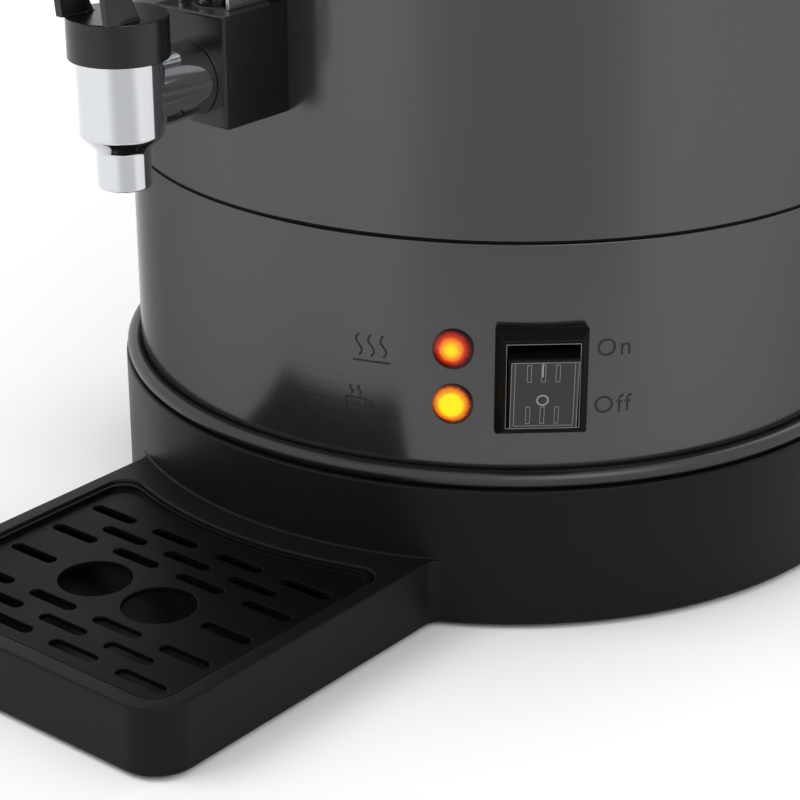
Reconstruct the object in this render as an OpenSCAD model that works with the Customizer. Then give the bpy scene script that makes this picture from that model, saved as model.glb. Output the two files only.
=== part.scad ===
// Percolator coffee urn, built piece by piece. Millimetres, +Z up.
// Origin: on the urn's axis, at the surface it stands on. The tap and the drip shelf face -Y.

/* [Base] */
// Outer radius of the base wall
base_r = 121; // [118:1:130]
// Height of the base wall
base_h = 42; // [38:1:55]
// Wall thickness of the moulded base
base_wall = 2.5; // [2:0.25:3.5]
// Width of the deck ring that carries the body
deck_w = 21; // [18:1:26]
// Thickness of the bottom cover
cover_t = 2; // [1.5:0.5:3]
// Gap between the bottom cover's rim and the base wall
cover_gap = 0.4; // [0.2:0.1:0.8]
// Distance of the cover screws from the inside of the base wall
cover_screw_inset = 11.5; // [9.5:0.5:14]
// Radius of a cover screw's thread
cover_screw_r = 1.6; // [1.4:0.1:2]
// Length of a cover screw's thread
cover_screw_l = 14; // [10:1:20]
// Inner radius of the cooling vents in the cover
vent_in = 36; // [30:1:50]
// Outer radius of the cooling vents
vent_out = 66; // [56:1:74]
// Width of a cooling vent
vent_w = 4; // [3:0.5:5]
// Angle from one vent to the next
vent_turn = 20; // [15:5:30]
// Radius of the bosses that take the cover screws
boss_r = 5; // [4:0.5:6]
// Height of the feet under the base
foot_h = 1.5; // [1:0.25:3]
// Radius of a foot's pad
foot_r = 8; // [6:0.5:9]
// Radius of a foot's peg
foot_peg_r = 3; // [2:0.25:4]
// Length of a foot's peg
foot_peg_h = 2; // [1.5:0.5:2.5]
// Distance of the foot ring's middle from the outside of the base wall
foot_inset = 29; // [27:1:34]
// Width of the foot ring
foot_ring_w = 12; // [8:1:14]
// Depth that the foot ring sits in its groove
foot_seat = 0.6; // [0.4:0.1:0.8]

/* [Drip shelf] */
// Half the width of the drip shelf
shelf_half_w = 56.5; // [54:0.5:62]
// Reach of the drip shelf in front of the base wall
shelf_out = 97; // [90:1:110]
// Height of the drip shelf, without the feet
shelf_h = 19.9; // [18:0.5:24]
// Width of the shelf's rim beside the grid
rim_w = 5.5; // [5:0.5:7]
// Gap between the base wall and the back edge of the grid
grid_back_gap = 9.3; // [8:0.5:12]
// Depth of the recess that the grid lies in
recess_d = 3.9; // [3.5:0.1:5]
// Width of the ledge that carries the grid
ledge_w = 2; // [1.5:0.25:3]
// Floor thickness of the shelf's tub
tub_floor = 1.5; // [1:0.25:2]
// Radius of the shelf's front corners
shelf_corner_r = 12; // [9:1:16]
// Radius of the hollow fillet between shelf and base wall
shelf_fillet = 5; // [3:0.5:8]
// Radius of the grid's back corners
grid_corner_r = 6; // [4:0.5:8]
// Gap round the grid and the drip pan
tray_gap = 0.4; // [0.3:0.1:0.8]
// Wall thickness of the drip pan
pan_wall = 1.2; // [1:0.1:1.6]
// Thickness of the grid plate
grid_t = 1.6; // [1.2:0.1:2]
// Height of the lip round the grid plate
lip_h = 1.4; // [1:0.1:1.6]
// Width of that lip
lip_w = 1.2; // [1:0.1:1.8]
// Length of a drain slot
slot_l = 17; // [14:0.5:19]
// Width of a drain slot
slot_w = 3.8; // [3:0.1:4.5]
// Distance between two slots in a row
slot_pitch = 24.9; // [23:0.1:26]
// Distance from the grid's back edge to the first row
first_row = 9.3; // [8:0.1:12]
// Distance from the last row to the lip at the grid's front
last_row = 6.7; // [5:0.1:10]
// Number of rows of slots
slot_rows = 9; // [7:2:9]
// Radius of the two finger holes in the grid
finger_r = 10.5; // [9:0.5:11]

/* [Trim and panel] */
// Radius of the round bead under the panel
bead_r = 2.5; // [2:0.25:3]
// Distance of the bead's edge inside the base wall
bead_inset = 0.5; // [0.25:0.25:1]
// Height of the sleeves that centre the panel and the jacket
sleeve_h = 6; // [4:0.5:9]
// Wall thickness of those sleeves
sleeve_t = 2; // [1.5:0.25:3]
// Gap between a sleeve and the sheet round it
sleeve_gap = 0.2; // [0.1:0.05:0.4]
// Thickness of the steel sheet
sheet = 0.8; // [0.6:0.1:1]
// Step from the base wall in to the jacket
body_inset = 5.2; // [5:0.1:8]
// Step from the jacket out to the control panel
panel_step = 0.2; // [0:0.1:0.4]
// Height of the control panel
panel_h = 65.7; // [60:0.1:80]
// Height of the dark seam between panel and jacket
seam_h = 0.8; // [0.5:0.1:1.5]
// Depth of that seam
seam_d = 0.4; // [0.2:0.1:0.6]

/* [Body] */
// Height of the outer jacket
jacket_h = 288; // [260:1:340]
// Air gap between the jacket and the tank
air_gap = 10.2; // [9:0.1:12]
// Height of the tank's floor above the jacket's lower edge
floor_rise = 17; // [12:1:38]
// Radius of the well in the tank floor
well_r = 27; // [25:0.5:32]
// Depth of the well
well_d = 6; // [5:0.5:8]
// Width of the flanges that join jacket and tank
flange_w = 8; // [6:0.5:9]
// Height of the top ring above the flange
top_ring_h = 8.2; // [7:0.2:12]
// Overhang of the top ring outside the jacket
top_ring_over = 2.2; // [1.8:0.1:3]
// Length of the top ring's skirt below the flange
top_skirt_h = 7.8; // [6:0.2:12]
// Wall thickness of that skirt
top_skirt_t = 1.9; // [1.5:0.1:2.5]
// Depth of the seat that the lid lies in
lid_seat_d = 4; // [3:0.5:5]

/* [Switch and lamps] */
// Azimuth of the switch, round from the tap
switch_az = 41.8; // [40:0.1:60]
// Height of the switch's centre above the panel's lower edge
switch_up = 27.2; // [24:0.2:35]
// Width of the switch's bezel
bezel_w = 25.5; // [24:0.5:28]
// Height of the switch's bezel
bezel_h = 31; // [30:0.5:34]
// Thickness of the bezel at its edge
bezel_t = 2.2; // [1.5:0.1:3]
// Rise of the bezel's inner rim above its edge
bezel_rise = 3.7; // [1:0.1:4.5]
// Width of the switch's body
switch_w = 22; // [21.6:0.1:23]
// Height of the switch's body
switch_h = 28; // [27:0.1:29]
// Depth of the switch's body behind the bezel
switch_d = 22; // [20:0.5:24]
// Wall thickness of the switch's body beside the rocker
switch_wall = 1; // [0.8:0.1:1.2]
// Gap between the switch's body and its cut-out
cutout_gap = 0.2; // [0.1:0.05:0.4]
// Width of the rocker
rocker_w = 19.2; // [18:0.1:19.3]
// Height of the rocker
rocker_h = 21.6; // [19:0.1:22]
// Distance of the rocker's face from its pivot
rocker_face = 10.5; // [10:0.1:11.5]
// Depth of the pivot behind the bezel's rim
rocker_pivot_d = 7.5; // [7:0.1:8]
// Radius of the rocker's pivot pins
rocker_pin_r = 1.5; // [1.2:0.1:1.8]
// Running clearance of the pivot pins
pin_gap = 0.05; // [0.02:0.01:0.08]
// Angle that the rocker tilts to either side
rocker_tilt = 8; // [6:0.5:9]
// Azimuth of the two lamps
lamp_az = 29.9; // [26:0.1:32]
// Height of the upper lamp above the panel's lower edge
lamp_up = 35.3; // [32:0.1:44]
// Distance between the two lamps
lamp_pitch = 16.3; // [14:0.1:18]
// Radius of a lamp's lens
lens_r = 5.65; // [5:0.05:6]
// Radius of a lamp's neck
lamp_neck_r = 4; // [3.5:0.1:4.5]
// Length of a lamp behind the panel
lamp_d = 17; // [14:0.5:20]

/* [Tap and gauge] */
// Height of the tap's line above the tank floor
tap_rise = 26; // [25:0.5:34]
// Outer radius of the tap's shank
shank_r = 8; // [7.5:0.25:9]
// Bore radius of the shank
shank_bore = 5; // [4:0.25:5.5]
// Clearance round the shank in its holes
shank_gap = 0.3; // [0.2:0.05:0.5]
// Thickness of the nut inside the tank
nut_t = 6; // [5:0.5:8]
// Half the width of that nut across its flats
nut_half = 12; // [11:0.5:13]
// Thickness of the tank seal at its middle
seal_t = 2.4; // [2:0.2:3.4]
// Half the width of the gauge block
block_half_w = 12.5; // [12:0.5:15]
// Depth of the gauge block in front of the jacket
block_d = 24; // [22:0.5:28]
// Height of the gauge block above the tap's line
block_up = 18; // [17.5:0.5:22]
// Depth of the gauge block below the tap's line
block_down = 12; // [11:0.5:12.5]
// Distance of the gauge tube's axis from the jacket
gauge_off = 12.5; // [11.5:0.5:14]
// Outer radius of the gauge tube
gauge_r = 5.5; // [5:0.25:6]
// Wall thickness of the gauge tube
gauge_wall = 1.2; // [1:0.1:1.5]
// Depth of the gauge tube's sockets
socket_d = 7; // [5:0.5:8]
// Thickness of the seals round the gauge tube
gauge_seal_t = 1.5; // [1:0.1:2]
// Distance of the gauge cap's top below the top ring's skirt
gauge_cap_down = 4; // [2:0.5:15]
// Height of the gauge cap
gauge_cap_h = 15; // [13:0.5:20]
// Sheet thickness of the gauge guard
guard_t = 1; // [0.8:0.1:1.5]
// Distance of the tap's outlet in front of the gauge block
spout_out = 25.2; // [23.2:0.5:35.2]
// Outer radius of the tap's upright chamber
chamber_r = 11; // [10:0.25:11.5]
// Bore radius of the chamber
chamber_bore = 8; // [7.5:0.25:8.5]
// Height of the chamber above the tap's line
chamber_up = 20; // [18:0.5:26]
// Depth of the chamber below the tap's line
chamber_down = 9; // [8:0.5:11]
// Outer radius of the spout
spout_r = 7; // [6:0.25:8]
// Bore radius of the spout
spout_bore = 5; // [4:0.25:5.5]
// Length of the spout below the chamber
spout_h = 14; // [10:0.5:16]
// Wall thickness of the bonnet
bonnet_t = 2; // [1.5:0.25:2.5]
// Length of the bonnet's skirt
bonnet_skirt = 9; // [6:0.5:11]
// Radius of the valve stem
stem_r = 2; // [1.75:0.05:2.1]
// Height of the lever's pivot above the bonnet
pivot_up = 11; // [10:0.5:14]
// Distance from the valve stem forward to the lever's pivot
pivot_off = 10; // [9:0.5:11]
// Radius of the lever's pivot pin
lever_pin_r = 1.5; // [1.25:0.05:1.75]
// Length of the lever's paddle in front of its pivot
paddle_l = 36; // [30:1:44]
// Width of the lever's paddle
paddle_w = 17; // [15:0.5:20]

/* [Inside the tank] */
// Outer radius of the pump tube
pump_r = 5; // [4.5:0.25:6]
// Wall thickness of the pump tube
pump_wall = 1; // [0.8:0.1:1.2]
// Height of the pump tube's top above the tank floor
pump_top = 220; // [205:1:230]
// Radius of the pump's bell foot
bell_r = 23; // [20:0.5:24]
// Height of the bell foot
bell_h = 14; // [12:0.5:18]
// Height of the basket's seat above the tank floor
basket_up = 130; // [110:1:140]
// Outer radius of the basket
basket_r = 60; // [50:1:70]
// Height of the basket
basket_h = 70; // [55:1:72]
// Gap between the basket's sleeve and the pump tube
basket_gap = 0.4; // [0.3:0.05:0.6]
// Radius of the drain holes in basket and spreader
drain_r = 1.5; // [1.2:0.1:2]

/* [Lid] */
// Rise of the lid's dome
dome_h = 17; // [12:0.5:24]
// Length of the lid's skirt inside the tank
lid_skirt_h = 9; // [6:0.5:12]
// Gap between the lid and the ring round it
lid_gap = 0.6; // [0.4:0.1:1]
// Radius of the knob's grip
knob_r = 18; // [15:0.5:22]
// Radius of the knob's neck
knob_neck_r = 8; // [7:0.5:10]
// Height of the knob
knob_h = 26; // [22:0.5:34]
// Radius of the knob's screw
knob_screw_r = 2; // [1.6:0.1:2.5]

/* [Handles] */
// Height of the handles' centre above the jacket's lower edge
handle_up = 236; // [150:2:250]
// Reach of a handle from the jacket
handle_reach = 40; // [35:1:50]
// Half the length of a handle
handle_half_l = 48; // [44:1:56]
// Height of a handle
handle_h = 22; // [18:0.5:28]
// Thickness of a handle's bar
handle_t = 13; // [11:0.5:16]
// Radius of a handle screw
handle_screw_r = 2.5; // [2:0.1:3]
// Length of a handle screw in its handle
handle_screw_l = 12; // [10:1:14]

/* [Inside the base] */
// Thickness of the clamp plate
clamp_t = 1.5; // [1.2:0.1:2]
// Width of the clamp plate's ring
clamp_w = 50; // [44:1:60]
// Gap between the clamp plate and the trim ring round it
clamp_gap = 2.8; // [1:0.1:5]
// Radius of the tie rods
rod_r = 2.5; // [2:0.25:3]
// Radius of the circle that the tie rods stand on
rod_ring = 78; // [74:1:80]
// Thickness of the rods' nuts
rod_nut_t = 4; // [3:0.5:5]
// Length of rod below the nuts
rod_tail = 3; // [1:0.5:5]
// Thickness of the brewing heater
brew_heater_t = 9; // [7:0.5:12]
// Middle radius of the keep-warm heater
warm_ring = 52; // [46:1:56]
// Radius of the keep-warm heater's tube
warm_r = 4; // [3:0.25:4.5]
// Radius of a thermostat
stat_r = 9; // [8:0.5:10]
// Height of a thermostat
stat_h = 8; // [6:0.5:10]
// Width of the power inlet's cut-out
inlet_w = 27.5; // [26:0.5:30]
// Height of the power inlet's cut-out
inlet_h = 20; // [18:0.5:22]
// Border of the power inlet's flange
inlet_border = 2; // [1.5:0.25:2.5]
// Depth of the power inlet behind its flange
inlet_d = 18; // [14:0.5:19]
// Depth of the power inlet's socket
inlet_socket_d = 14; // [10:0.5:14]
// Radius of a wire
wire_r = 1.6; // [1.2:0.1:1.7]
// Thickness of the sleeve on the wires that rise to the switch
wire_sleeve = 0.25; // [0.15:0.05:0.3]
// Height of the terminal block
block_h = 12; // [12:0.5:15]

/* [Hidden] */
$fn = 96;

steel = "silver";
tinted = "dimgray";
plastic = [0.12, 0.12, 0.12];
rubber = [0.2, 0.2, 0.2];

eps = 0.01;                 // overlap of two shapes that are joined into one solid
over = 5;                   // overshoot of a cut across a round wall
cut_h = 40;                 // height of a cut that gives a small piece its round face
fit = 0.3;                  // gap between pieces that only rest on each other
snug = 0.1;                 // gap between curved faces of pieces that are fixed together

// Heights of the stack, from the floor up
base_z = foot_h;
deck_t = base_wall;
deck_z = base_z + base_h;
shelf_z = base_z + shelf_h;
panel_z = deck_z + 2 * bead_r;
panel_top = panel_z + panel_h;
jacket_z = panel_top + seam_h;
jacket_top = jacket_z + jacket_h;
tank_top = jacket_top;
floor_z = jacket_z + floor_rise;
tank_depth = jacket_h - floor_rise;
well_z = floor_z - well_d;
under_z = floor_z - sheet;
ring_top = tank_top + top_ring_h;
seat_z = ring_top - lid_seat_d;

// Radii
body_r = base_r - body_inset;
cover_screw_ring = base_r - base_wall - cover_screw_inset;
foot_mid = base_r - foot_inset;
panel_r = body_r + panel_step;
sleeve_r = body_r - sheet - sleeve_gap;
tank_r = body_r - sheet - air_gap;
tank_in = tank_r - sheet;
ring_out = body_r + top_ring_over;
bead_c = base_r - bead_inset - bead_r;

// Cover screws
cover_head_r = 2 * cover_screw_r;
cover_head_t = 0.8;
cover_head_sink = 0.2;
kerf_w = 0.8;
kerf_d = 0.6;

// Drip shelf
shelf_reach = base_r + shelf_out;
hollow_corner_r = 3;
recess_z = shelf_z - recess_d;
tub_half = shelf_half_w - rim_w - ledge_w;
front_y = -shelf_reach;
recess_front = front_y + rim_w;
tub_front = recess_front + ledge_w;
recess_back = base_r + grid_back_gap;
tub_back = recess_back + ledge_w;
tub_z = base_z + base_wall + tub_floor;
recess_corner_r = shelf_corner_r - rim_w;
tub_corner_r = recess_corner_r - ledge_w;
pan_z = tub_z + fit;
pan_top = recess_z - fit;
grid_z = recess_z + fit;
grid_back = recess_back + tray_gap;
grid_front = recess_front + tray_gap;
row_y = -(grid_back + first_row);
row_pitch = (row_y - grid_front - lip_w - last_row) / (slot_rows - 1);
half_pitch = slot_pitch / 2;
finger_row = (slot_rows - 1) / 2;
slot_edge = 2;
finger_edge = 1;

// Switch: u is measured outwards from the urn's axis
switch_z = panel_z + switch_up;
bezel_u = panel_r + snug;
rim_u = bezel_u + bezel_t + bezel_rise;
pivot_u = rim_u - rocker_pivot_d;
mouth_gap = 0.35;
mouth_w = switch_w - 2 * switch_wall;
mouth_h = rocker_h + 2 * (rocker_pivot_d * sin(rocker_tilt) + mouth_gap);
switch_back_t = 5;
bezel_land = 1;
blade_w = 6.3;
blade_t = 0.8;
rocker_foot = 3;
rocker_d = rocker_face + rocker_foot;
rocker_chamfer = 1.1;
lens_gap = 0.2;
lens_flange = 1;
lens_dome = 1.4;
lens_shoulder = 0.6;
holder_wall = 1.8;
holder_gap = 0.6;
holder_bore = 2.5;

// Tap
spout_reach = body_r + block_d + spout_out;
tap_z = floor_z + tap_rise;
block_y = body_r + block_d;
gauge_y = body_r + gauge_off;
seat_tap_z = tap_z - chamber_down;
chamber_top = tap_z + chamber_up;
bonnet_top = chamber_top + bonnet_t;
bonnet_r = chamber_r + snug + bonnet_t;
pivot_z = bonnet_top + pivot_up;
lever_y = spout_reach + pivot_off;
nut_u = tank_in - seal_t - nut_t;
nut_proud = 2.6;
seal_half = nut_half + 2;
spacer_wall = 4;
tap_wall = 2;
shank_in = 6;
valve_seat_t = 2;
spout_taper = 4;
plug_z = seat_tap_z + valve_seat_t + fit;
plug_h = 6;
plug_gap = 0.6;
stem_flange_t = 1.2;
stem_head_t = 2.4;
stem_end = 3;
hub_r = 3.5;
ear_front = 2;
ear_back = 9;
finger_end_r = 2.6;
arm_l = 8;
arm_low = -1;
arm_high = 4;
paddle_rise = 13;
paddle_drop = 10;
paddle_root = 12;
paddle_root_low = 3.5;
paddle_root_high = 7;
arm_gap = 0.5;
arm_t = 2.5;
arm_in = stem_r + 2;
peg_r = 1.5;
peg_l = 1.6;
arm_out = arm_in + arm_t;
ear_out = arm_out + arm_gap + arm_t;
spring_r = 5;
wire = 0.6;
spring_turns = 6;
gauge_top = tank_top - top_skirt_h - gauge_cap_down;
cap_z = gauge_top - gauge_cap_h;
gauge_z = tap_z + block_up - socket_d;
gauge_end = cap_z + socket_d;
seat_gauge_r = gauge_r + gauge_seal_t;
guard_gap = 2;
guard_half = seat_gauge_r + 2;
cap_half = seat_gauge_r + 4;
cap_wall = 3;
gauge_screw_z = gauge_top - handle_screw_r - 1;
gauge_screw_l = 8;
wall_head_r = 1.8 * handle_screw_r;
wall_head_t = 3;
wall_head_gap = 0.2;

// Pump and basket
bell_z = well_z + fit;
basket_z = floor_z + basket_up;
basket_in = pump_r + basket_gap;
spreader_z = basket_z + basket_h;
collar_h = 3;
collar_w = 3;
inlet_slot_w = 6;
inlet_slot_h = 2;
valve_gap = 1.5;
valve_t = 1;
valve_edge = 4;
basket_sleeve_gap = 4;
spreader_over = 2;
spreader_rim_h = 5;
spreader_hub_w = 3;
drain_edge = 8;
basket_ring = 10;
basket_drain = 1.5;
spreader_ring = 14;
spreader_drain = 2.5;

// Lid
lid_r = tank_in + flange_w / 2 + 1;
lid_z = seat_z + fit;
dome_base = lid_z + sheet;
dome_s = (pow(lid_r, 2) + pow(dome_h, 2)) / (2 * dome_h);
dome_top = dome_base + dome_h;
lid_skirt_r = tank_in - 1.5;
lid_vent_r = 2;
lid_vent_ring = 0.7 * lid_r;
gasket_h = 3;
knob_gap = 0.2;
knob_z = dome_top + knob_gap;
knob_seat_r = knob_neck_r + 4;
knob_seat_h = 1.5;
knob_foot_h = 4;
knob_grip_h = 14;
knob_grip_z = 9;
knob_edge_r = 3;
knob_screw_d = 8;

// Handles
handle_z = jacket_z + handle_up;
handle_in = body_r + snug;
handle_corner = 16;
handle_corner_in = 8;
handle_screw_turn = asin((handle_half_l - handle_t / 2) / (body_r + handle_screw_l / 2));

// Electrical parts
clamp_z = deck_z;
clamp_r = sleeve_r - sleeve_t - clamp_gap;
rod_nut_r = rod_r * 2;
stat_gap = 2;
warm_turn = 300;
inlet_rim_t = 2;
inlet_wall = 2;
pin_pitch = 7;
pin_w = 2;
pin_h = 4;
pin_tail = 6;
pin_lead_z = 2;
inlet_face = base_r - 1;
inlet_z = base_z + base_h / 2;
blade_l = 7;
blade_pitch = 8;
riser_r = wire_r + wire_sleeve;
loom_u = bezel_u - switch_d - blade_l - riser_r - snug;
loom_z = clamp_z + clamp_t + riser_r;
loom_step = 2 * riser_r + snug;
pin_back = inlet_face - inlet_d - pin_tail;
block_w = 32;
block_edge = 3;
block_in = loom_u - block_edge;

function arc(c, r, a0, a1, n = 8, skip = 0) =
    [for (i = [skip:n - skip]) c + r * [cos(a0 + (a1 - a0) * i / n), sin(a0 + (a1 - a0) * i / n)]];

// Outline of the grid, its recess and its pan: a back edge round the urn, straight sides and front
function tray_outline(half_w, y0, back, corner, front_corner) =
    let (cx = half_w - corner,
         cy = -sqrt(pow(back + corner, 2) - pow(cx, 2)),
         turn = atan2(-cy, -cx),
         fx = half_w - front_corner,
         fy = y0 + front_corner)
    concat(arc([fx, fy], front_corner, -90, 0),
           arc([cx, cy], corner, 0, turn),
           arc([0, 0], back, turn - 180, -turn, 24, 1),
           arc([-cx, cy], corner, 180 - turn, 180),
           arc([-fx, fy], front_corner, 180, 270));

// Outline of the shelf, with hollow fillets that run into the base wall
function shelf_outline() =
    let (bx = shelf_half_w + shelf_fillet,
         by = -sqrt(pow(base_r + shelf_fillet, 2) - pow(bx, 2)),
         turn = atan2(-by, -bx),
         into = base_r - base_wall / 2,
         back = [for (s = [1, -1]) into * [s * cos(turn - 178), sin(turn - 178)]],
         fx = shelf_half_w - shelf_corner_r,
         fy = front_y + shelf_corner_r)
    concat(arc([fx, fy], shelf_corner_r, -90, 0),
           arc([bx, by], shelf_fillet, 180, turn - 3),
           back,
           arc([-bx, by], shelf_fillet, 183 - turn, 0),
           arc([-fx, fy], shelf_corner_r, 180, 270));

module slab(z, h, outline) translate([0, 0, z]) linear_extrude(h) polygon(outline);

module disc(z, h, r) translate([0, 0, z]) cylinder(r = r, h = h);

module tube(z, h, r_out, r_in) difference() {
    disc(z, h, r_out);
    disc(z - 1, h + 2, r_in);
}

// Turns a piece drawn at the front to an azimuth round the urn
module at(az) rotate([0, 0, az]) children();

// Round bar from radius u0 out to u1 along the line towards -Y
module spoke(u0, u1, r) translate([0, -u0, 0]) rotate([90, 0, 0]) cylinder(r = r, h = u1 - u0);

// Round bar along X, centred
module cross(l, r) translate([-l / 2, 0, 0]) rotate([0, 90, 0]) cylinder(r = r, h = l);

// Block from radius u0 out to u1, with its width and height centred
module brick(u0, u1, w, h) translate([-w / 2, -u1, -h / 2]) cube([w, u1 - u0, h]);

// ---------------------------------------------------------------- base

module base_housing() color(plastic) {
    hollow_top = shelf_z - base_wall;
    difference() {
        union() {
            disc(base_z, base_h, base_r);
            slab(base_z, shelf_h, shelf_outline());
        }
        disc(base_z - 1, base_h - deck_t + 1, base_r - base_wall);
        disc(deck_z - deck_t - 1, deck_t + 2, base_r - deck_w);
        difference() {
            slab(base_z - 1, hollow_top - base_z + 1,
                 tray_outline(shelf_half_w - base_wall, front_y + base_wall, base_r, hollow_corner_r,
                              shelf_corner_r - base_wall));
            slab(base_z + base_wall, shelf_h,
                 tray_outline(tub_half + ledge_w, recess_front - ledge_w / 2,
                              tub_back - 2 * ledge_w, grid_corner_r, shelf_corner_r - base_wall));
            for (s = [-1, 1]) shelf_foot_place(s) disc(base_z, base_wall + 1, foot_r);
        }
        slab(recess_z, recess_d + 1,
             tray_outline(tub_half + ledge_w, recess_front, recess_back, grid_corner_r,
                          recess_corner_r));
        slab(tub_z, recess_z - tub_z + 1,
             tray_outline(tub_half, tub_front, tub_back, grid_corner_r, tub_corner_r));
        for (s = [-1, 1]) shelf_foot_place(s) disc(base_z - 1, foot_peg_h + 1.5, foot_peg_r + snug);
        translate([0, 0, inlet_z]) at(180) {
            brick(inlet_face, base_r + over, inlet_w + 4 * inlet_border,
                  inlet_h + 4 * inlet_border);
            brick(base_r - base_wall - over, base_r + over, inlet_w + 2 * cutout_gap,
                  inlet_h + 2 * cutout_gap);
        }
    }
    for (a = [45:90:315]) at(a) translate([0, -cover_screw_ring, 0]) difference() {
        disc(base_z + cover_t, base_h - deck_t - cover_t, boss_r);
        disc(base_z + cover_t - 1, cover_screw_l + 1, cover_screw_r + snug);
    }
}

module shelf_foot_place(s) translate([s * (tub_half - foot_r), tub_front + foot_r, 0]) children();

module bottom_cover() color(plastic) difference() {
    disc(base_z, cover_t, base_r - base_wall - cover_gap);
    for (a = [45:90:315]) at(a) translate([0, -cover_screw_ring, 0]) {
        disc(base_z - 1, cover_t + 2, cover_screw_r + snug);
        disc(base_z - 1, cover_head_sink + cover_head_t + 1, cover_head_r + snug);
    }
    tube(base_z - 1, foot_seat + 1, foot_mid + foot_ring_w / 2 + snug,
         foot_mid - foot_ring_w / 2 - snug);
    for (a = [0:vent_turn:359]) at(a)
        translate([-vent_w / 2, -vent_out, base_z - 1]) cube([vent_w, vent_out - vent_in, cover_t + 2]);
}

module cover_screws() color(steel) for (a = [45:90:315])
    at(a) translate([0, -cover_screw_ring, 0]) {
        disc(base_z + cover_head_sink + cover_head_t, cover_screw_l, cover_screw_r);
        difference() {
            disc(base_z + cover_head_sink, cover_head_t, cover_head_r);
            translate([-cover_head_r, -kerf_w / 2, base_z]) cube([2 * cover_head_r, kerf_w, kerf_d]);
        }
    }

module foot_ring() color(rubber)
    tube(0, foot_h + foot_seat, foot_mid + foot_ring_w / 2, foot_mid - foot_ring_w / 2);

module shelf_feet() color(rubber) for (s = [-1, 1]) shelf_foot_place(s) {
    disc(0, foot_h, foot_r);
    disc(foot_h, foot_peg_h, foot_peg_r);
}

module drip_pan() color(plastic) {
    half = tub_half - tray_gap;
    y0 = tub_front + tray_gap;
    back = tub_back + tray_gap;
    difference() {
        slab(pan_z, pan_top - pan_z,
             tray_outline(half, y0, back, grid_corner_r, tub_corner_r));
        slab(pan_z + pan_wall, pan_top - pan_z,
             tray_outline(half - pan_wall, y0 + pan_wall, back + pan_wall, grid_corner_r,
                          tub_corner_r));
    }
}

// Slots in staggered rows; the row of the finger holes keeps only what clears them
module grid_slots() {
    half = tub_half + ledge_w - tray_gap - lip_w;
    for (j = [0:slot_rows - 1]) {
        first = j % 2 == 0 ? half_pitch : 0;
        for (k = [-3:3]) {
            x = first + k * slot_pitch;
            near = abs(j - finger_row) * row_pitch < finger_r + slot_w / 2 + finger_edge
                && abs(abs(x) - half_pitch) < finger_r + slot_l / 2 + finger_edge;
            fits = abs(x) + slot_l / 2 < half - slot_edge;
            if (fits && !near) translate([x, row_y - j * row_pitch, grid_z - 1]) slot(grid_t + 2);
        }
    }
}

module slot(h) {
    half = (slot_l - slot_w) / 2;
    translate([-half, -slot_w / 2, 0]) cube([2 * half, slot_w, h]);
    for (s = [-1, 1]) translate([s * half, 0, 0]) cylinder(r = slot_w / 2, h = h, $fn = 24);
}

module drip_grid() color(plastic) {
    half = tub_half + ledge_w - tray_gap;
    difference() {
        slab(grid_z, grid_t + lip_h,
             tray_outline(half, grid_front, grid_back, grid_corner_r, recess_corner_r));
        slab(grid_z + grid_t, lip_h + 1,
             tray_outline(half - lip_w, grid_front + lip_w, grid_back + lip_w, grid_corner_r,
                          recess_corner_r));
        grid_slots();
        for (s = [-1, 1])
            translate([s * half_pitch, row_y - finger_row * row_pitch, grid_z - 1])
                cylinder(r = finger_r, h = grid_t + 2);
    }
}

// ---------------------------------------------------------------- trim, panel and body

module trim_ring() color(tinted) rotate_extrude() {
    translate([bead_c, deck_z + bead_r]) circle(r = bead_r, $fn = 48);
    translate([sleeve_r - sleeve_t, deck_z]) square([bead_c - sleeve_r + sleeve_t, bead_r]);
    translate([sleeve_r - sleeve_t, deck_z]) square([sleeve_t + sleeve_gap + sheet, 2 * bead_r]);
    translate([sleeve_r - sleeve_t, deck_z]) square([sleeve_t, 2 * bead_r + sleeve_h]);
}

module control_panel() color(tinted) difference() {
    tube(panel_z, panel_h, panel_r, panel_r - sheet);
    translate([0, 0, switch_z]) at(switch_az)
        brick(panel_r - over, panel_r + over, switch_w + 2 * cutout_gap,
              switch_h + 2 * cutout_gap);
    lamp_places() spoke(panel_r - over, panel_r + over, lamp_neck_r + cutout_gap);
}

module lamp_places() for (i = [0, 1])
    translate([0, 0, panel_z + lamp_up - i * lamp_pitch]) at(lamp_az) children();

module seam_ring() color(plastic) {
    tube(panel_top - sleeve_h, 2 * sleeve_h + seam_h, sleeve_r, sleeve_r - sleeve_t);
    tube(panel_top, seam_h, body_r - seam_d, sleeve_r - sleeve_t);
}

module outer_jacket() color(tinted) difference() {
    union() {
        tube(jacket_z, jacket_h, body_r, body_r - sheet);
        tube(jacket_top - sheet, sheet, body_r, body_r - sheet - flange_w);
    }
    translate([0, 0, tap_z]) spoke(body_r - over, body_r + over, shank_r + shank_gap);
    translate([0, 0, gauge_screw_z]) spoke(body_r - over, body_r + over, handle_screw_r + snug);
    handle_screw_places() spoke(body_r - over, body_r + over, handle_screw_r + snug);
}

module inner_tank() color(steel) difference() {
    union() {
        tube(floor_z, tank_depth, tank_r, tank_in);
        tube(tank_top, sheet, body_r - sheet, tank_in);
        tube(under_z, sheet, tank_r, well_r);
        tube(well_z - sheet, well_d + sheet, well_r + sheet, well_r);
        disc(well_z - sheet, sheet, well_r + sheet);
    }
    translate([0, 0, tap_z]) spoke(tank_r - over, tank_r + over, shank_r + shank_gap);
}

module top_ring() color(plastic) {
    z = tank_top + sheet;
    difference() {
        tube(z, ring_top - z, ring_out, tank_in);
        disc(seat_z, lid_seat_d + 1, lid_r + lid_gap);
    }
    tube(tank_top - top_skirt_h, top_skirt_h + sheet + eps, ring_out, ring_out - top_skirt_t);
}

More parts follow.
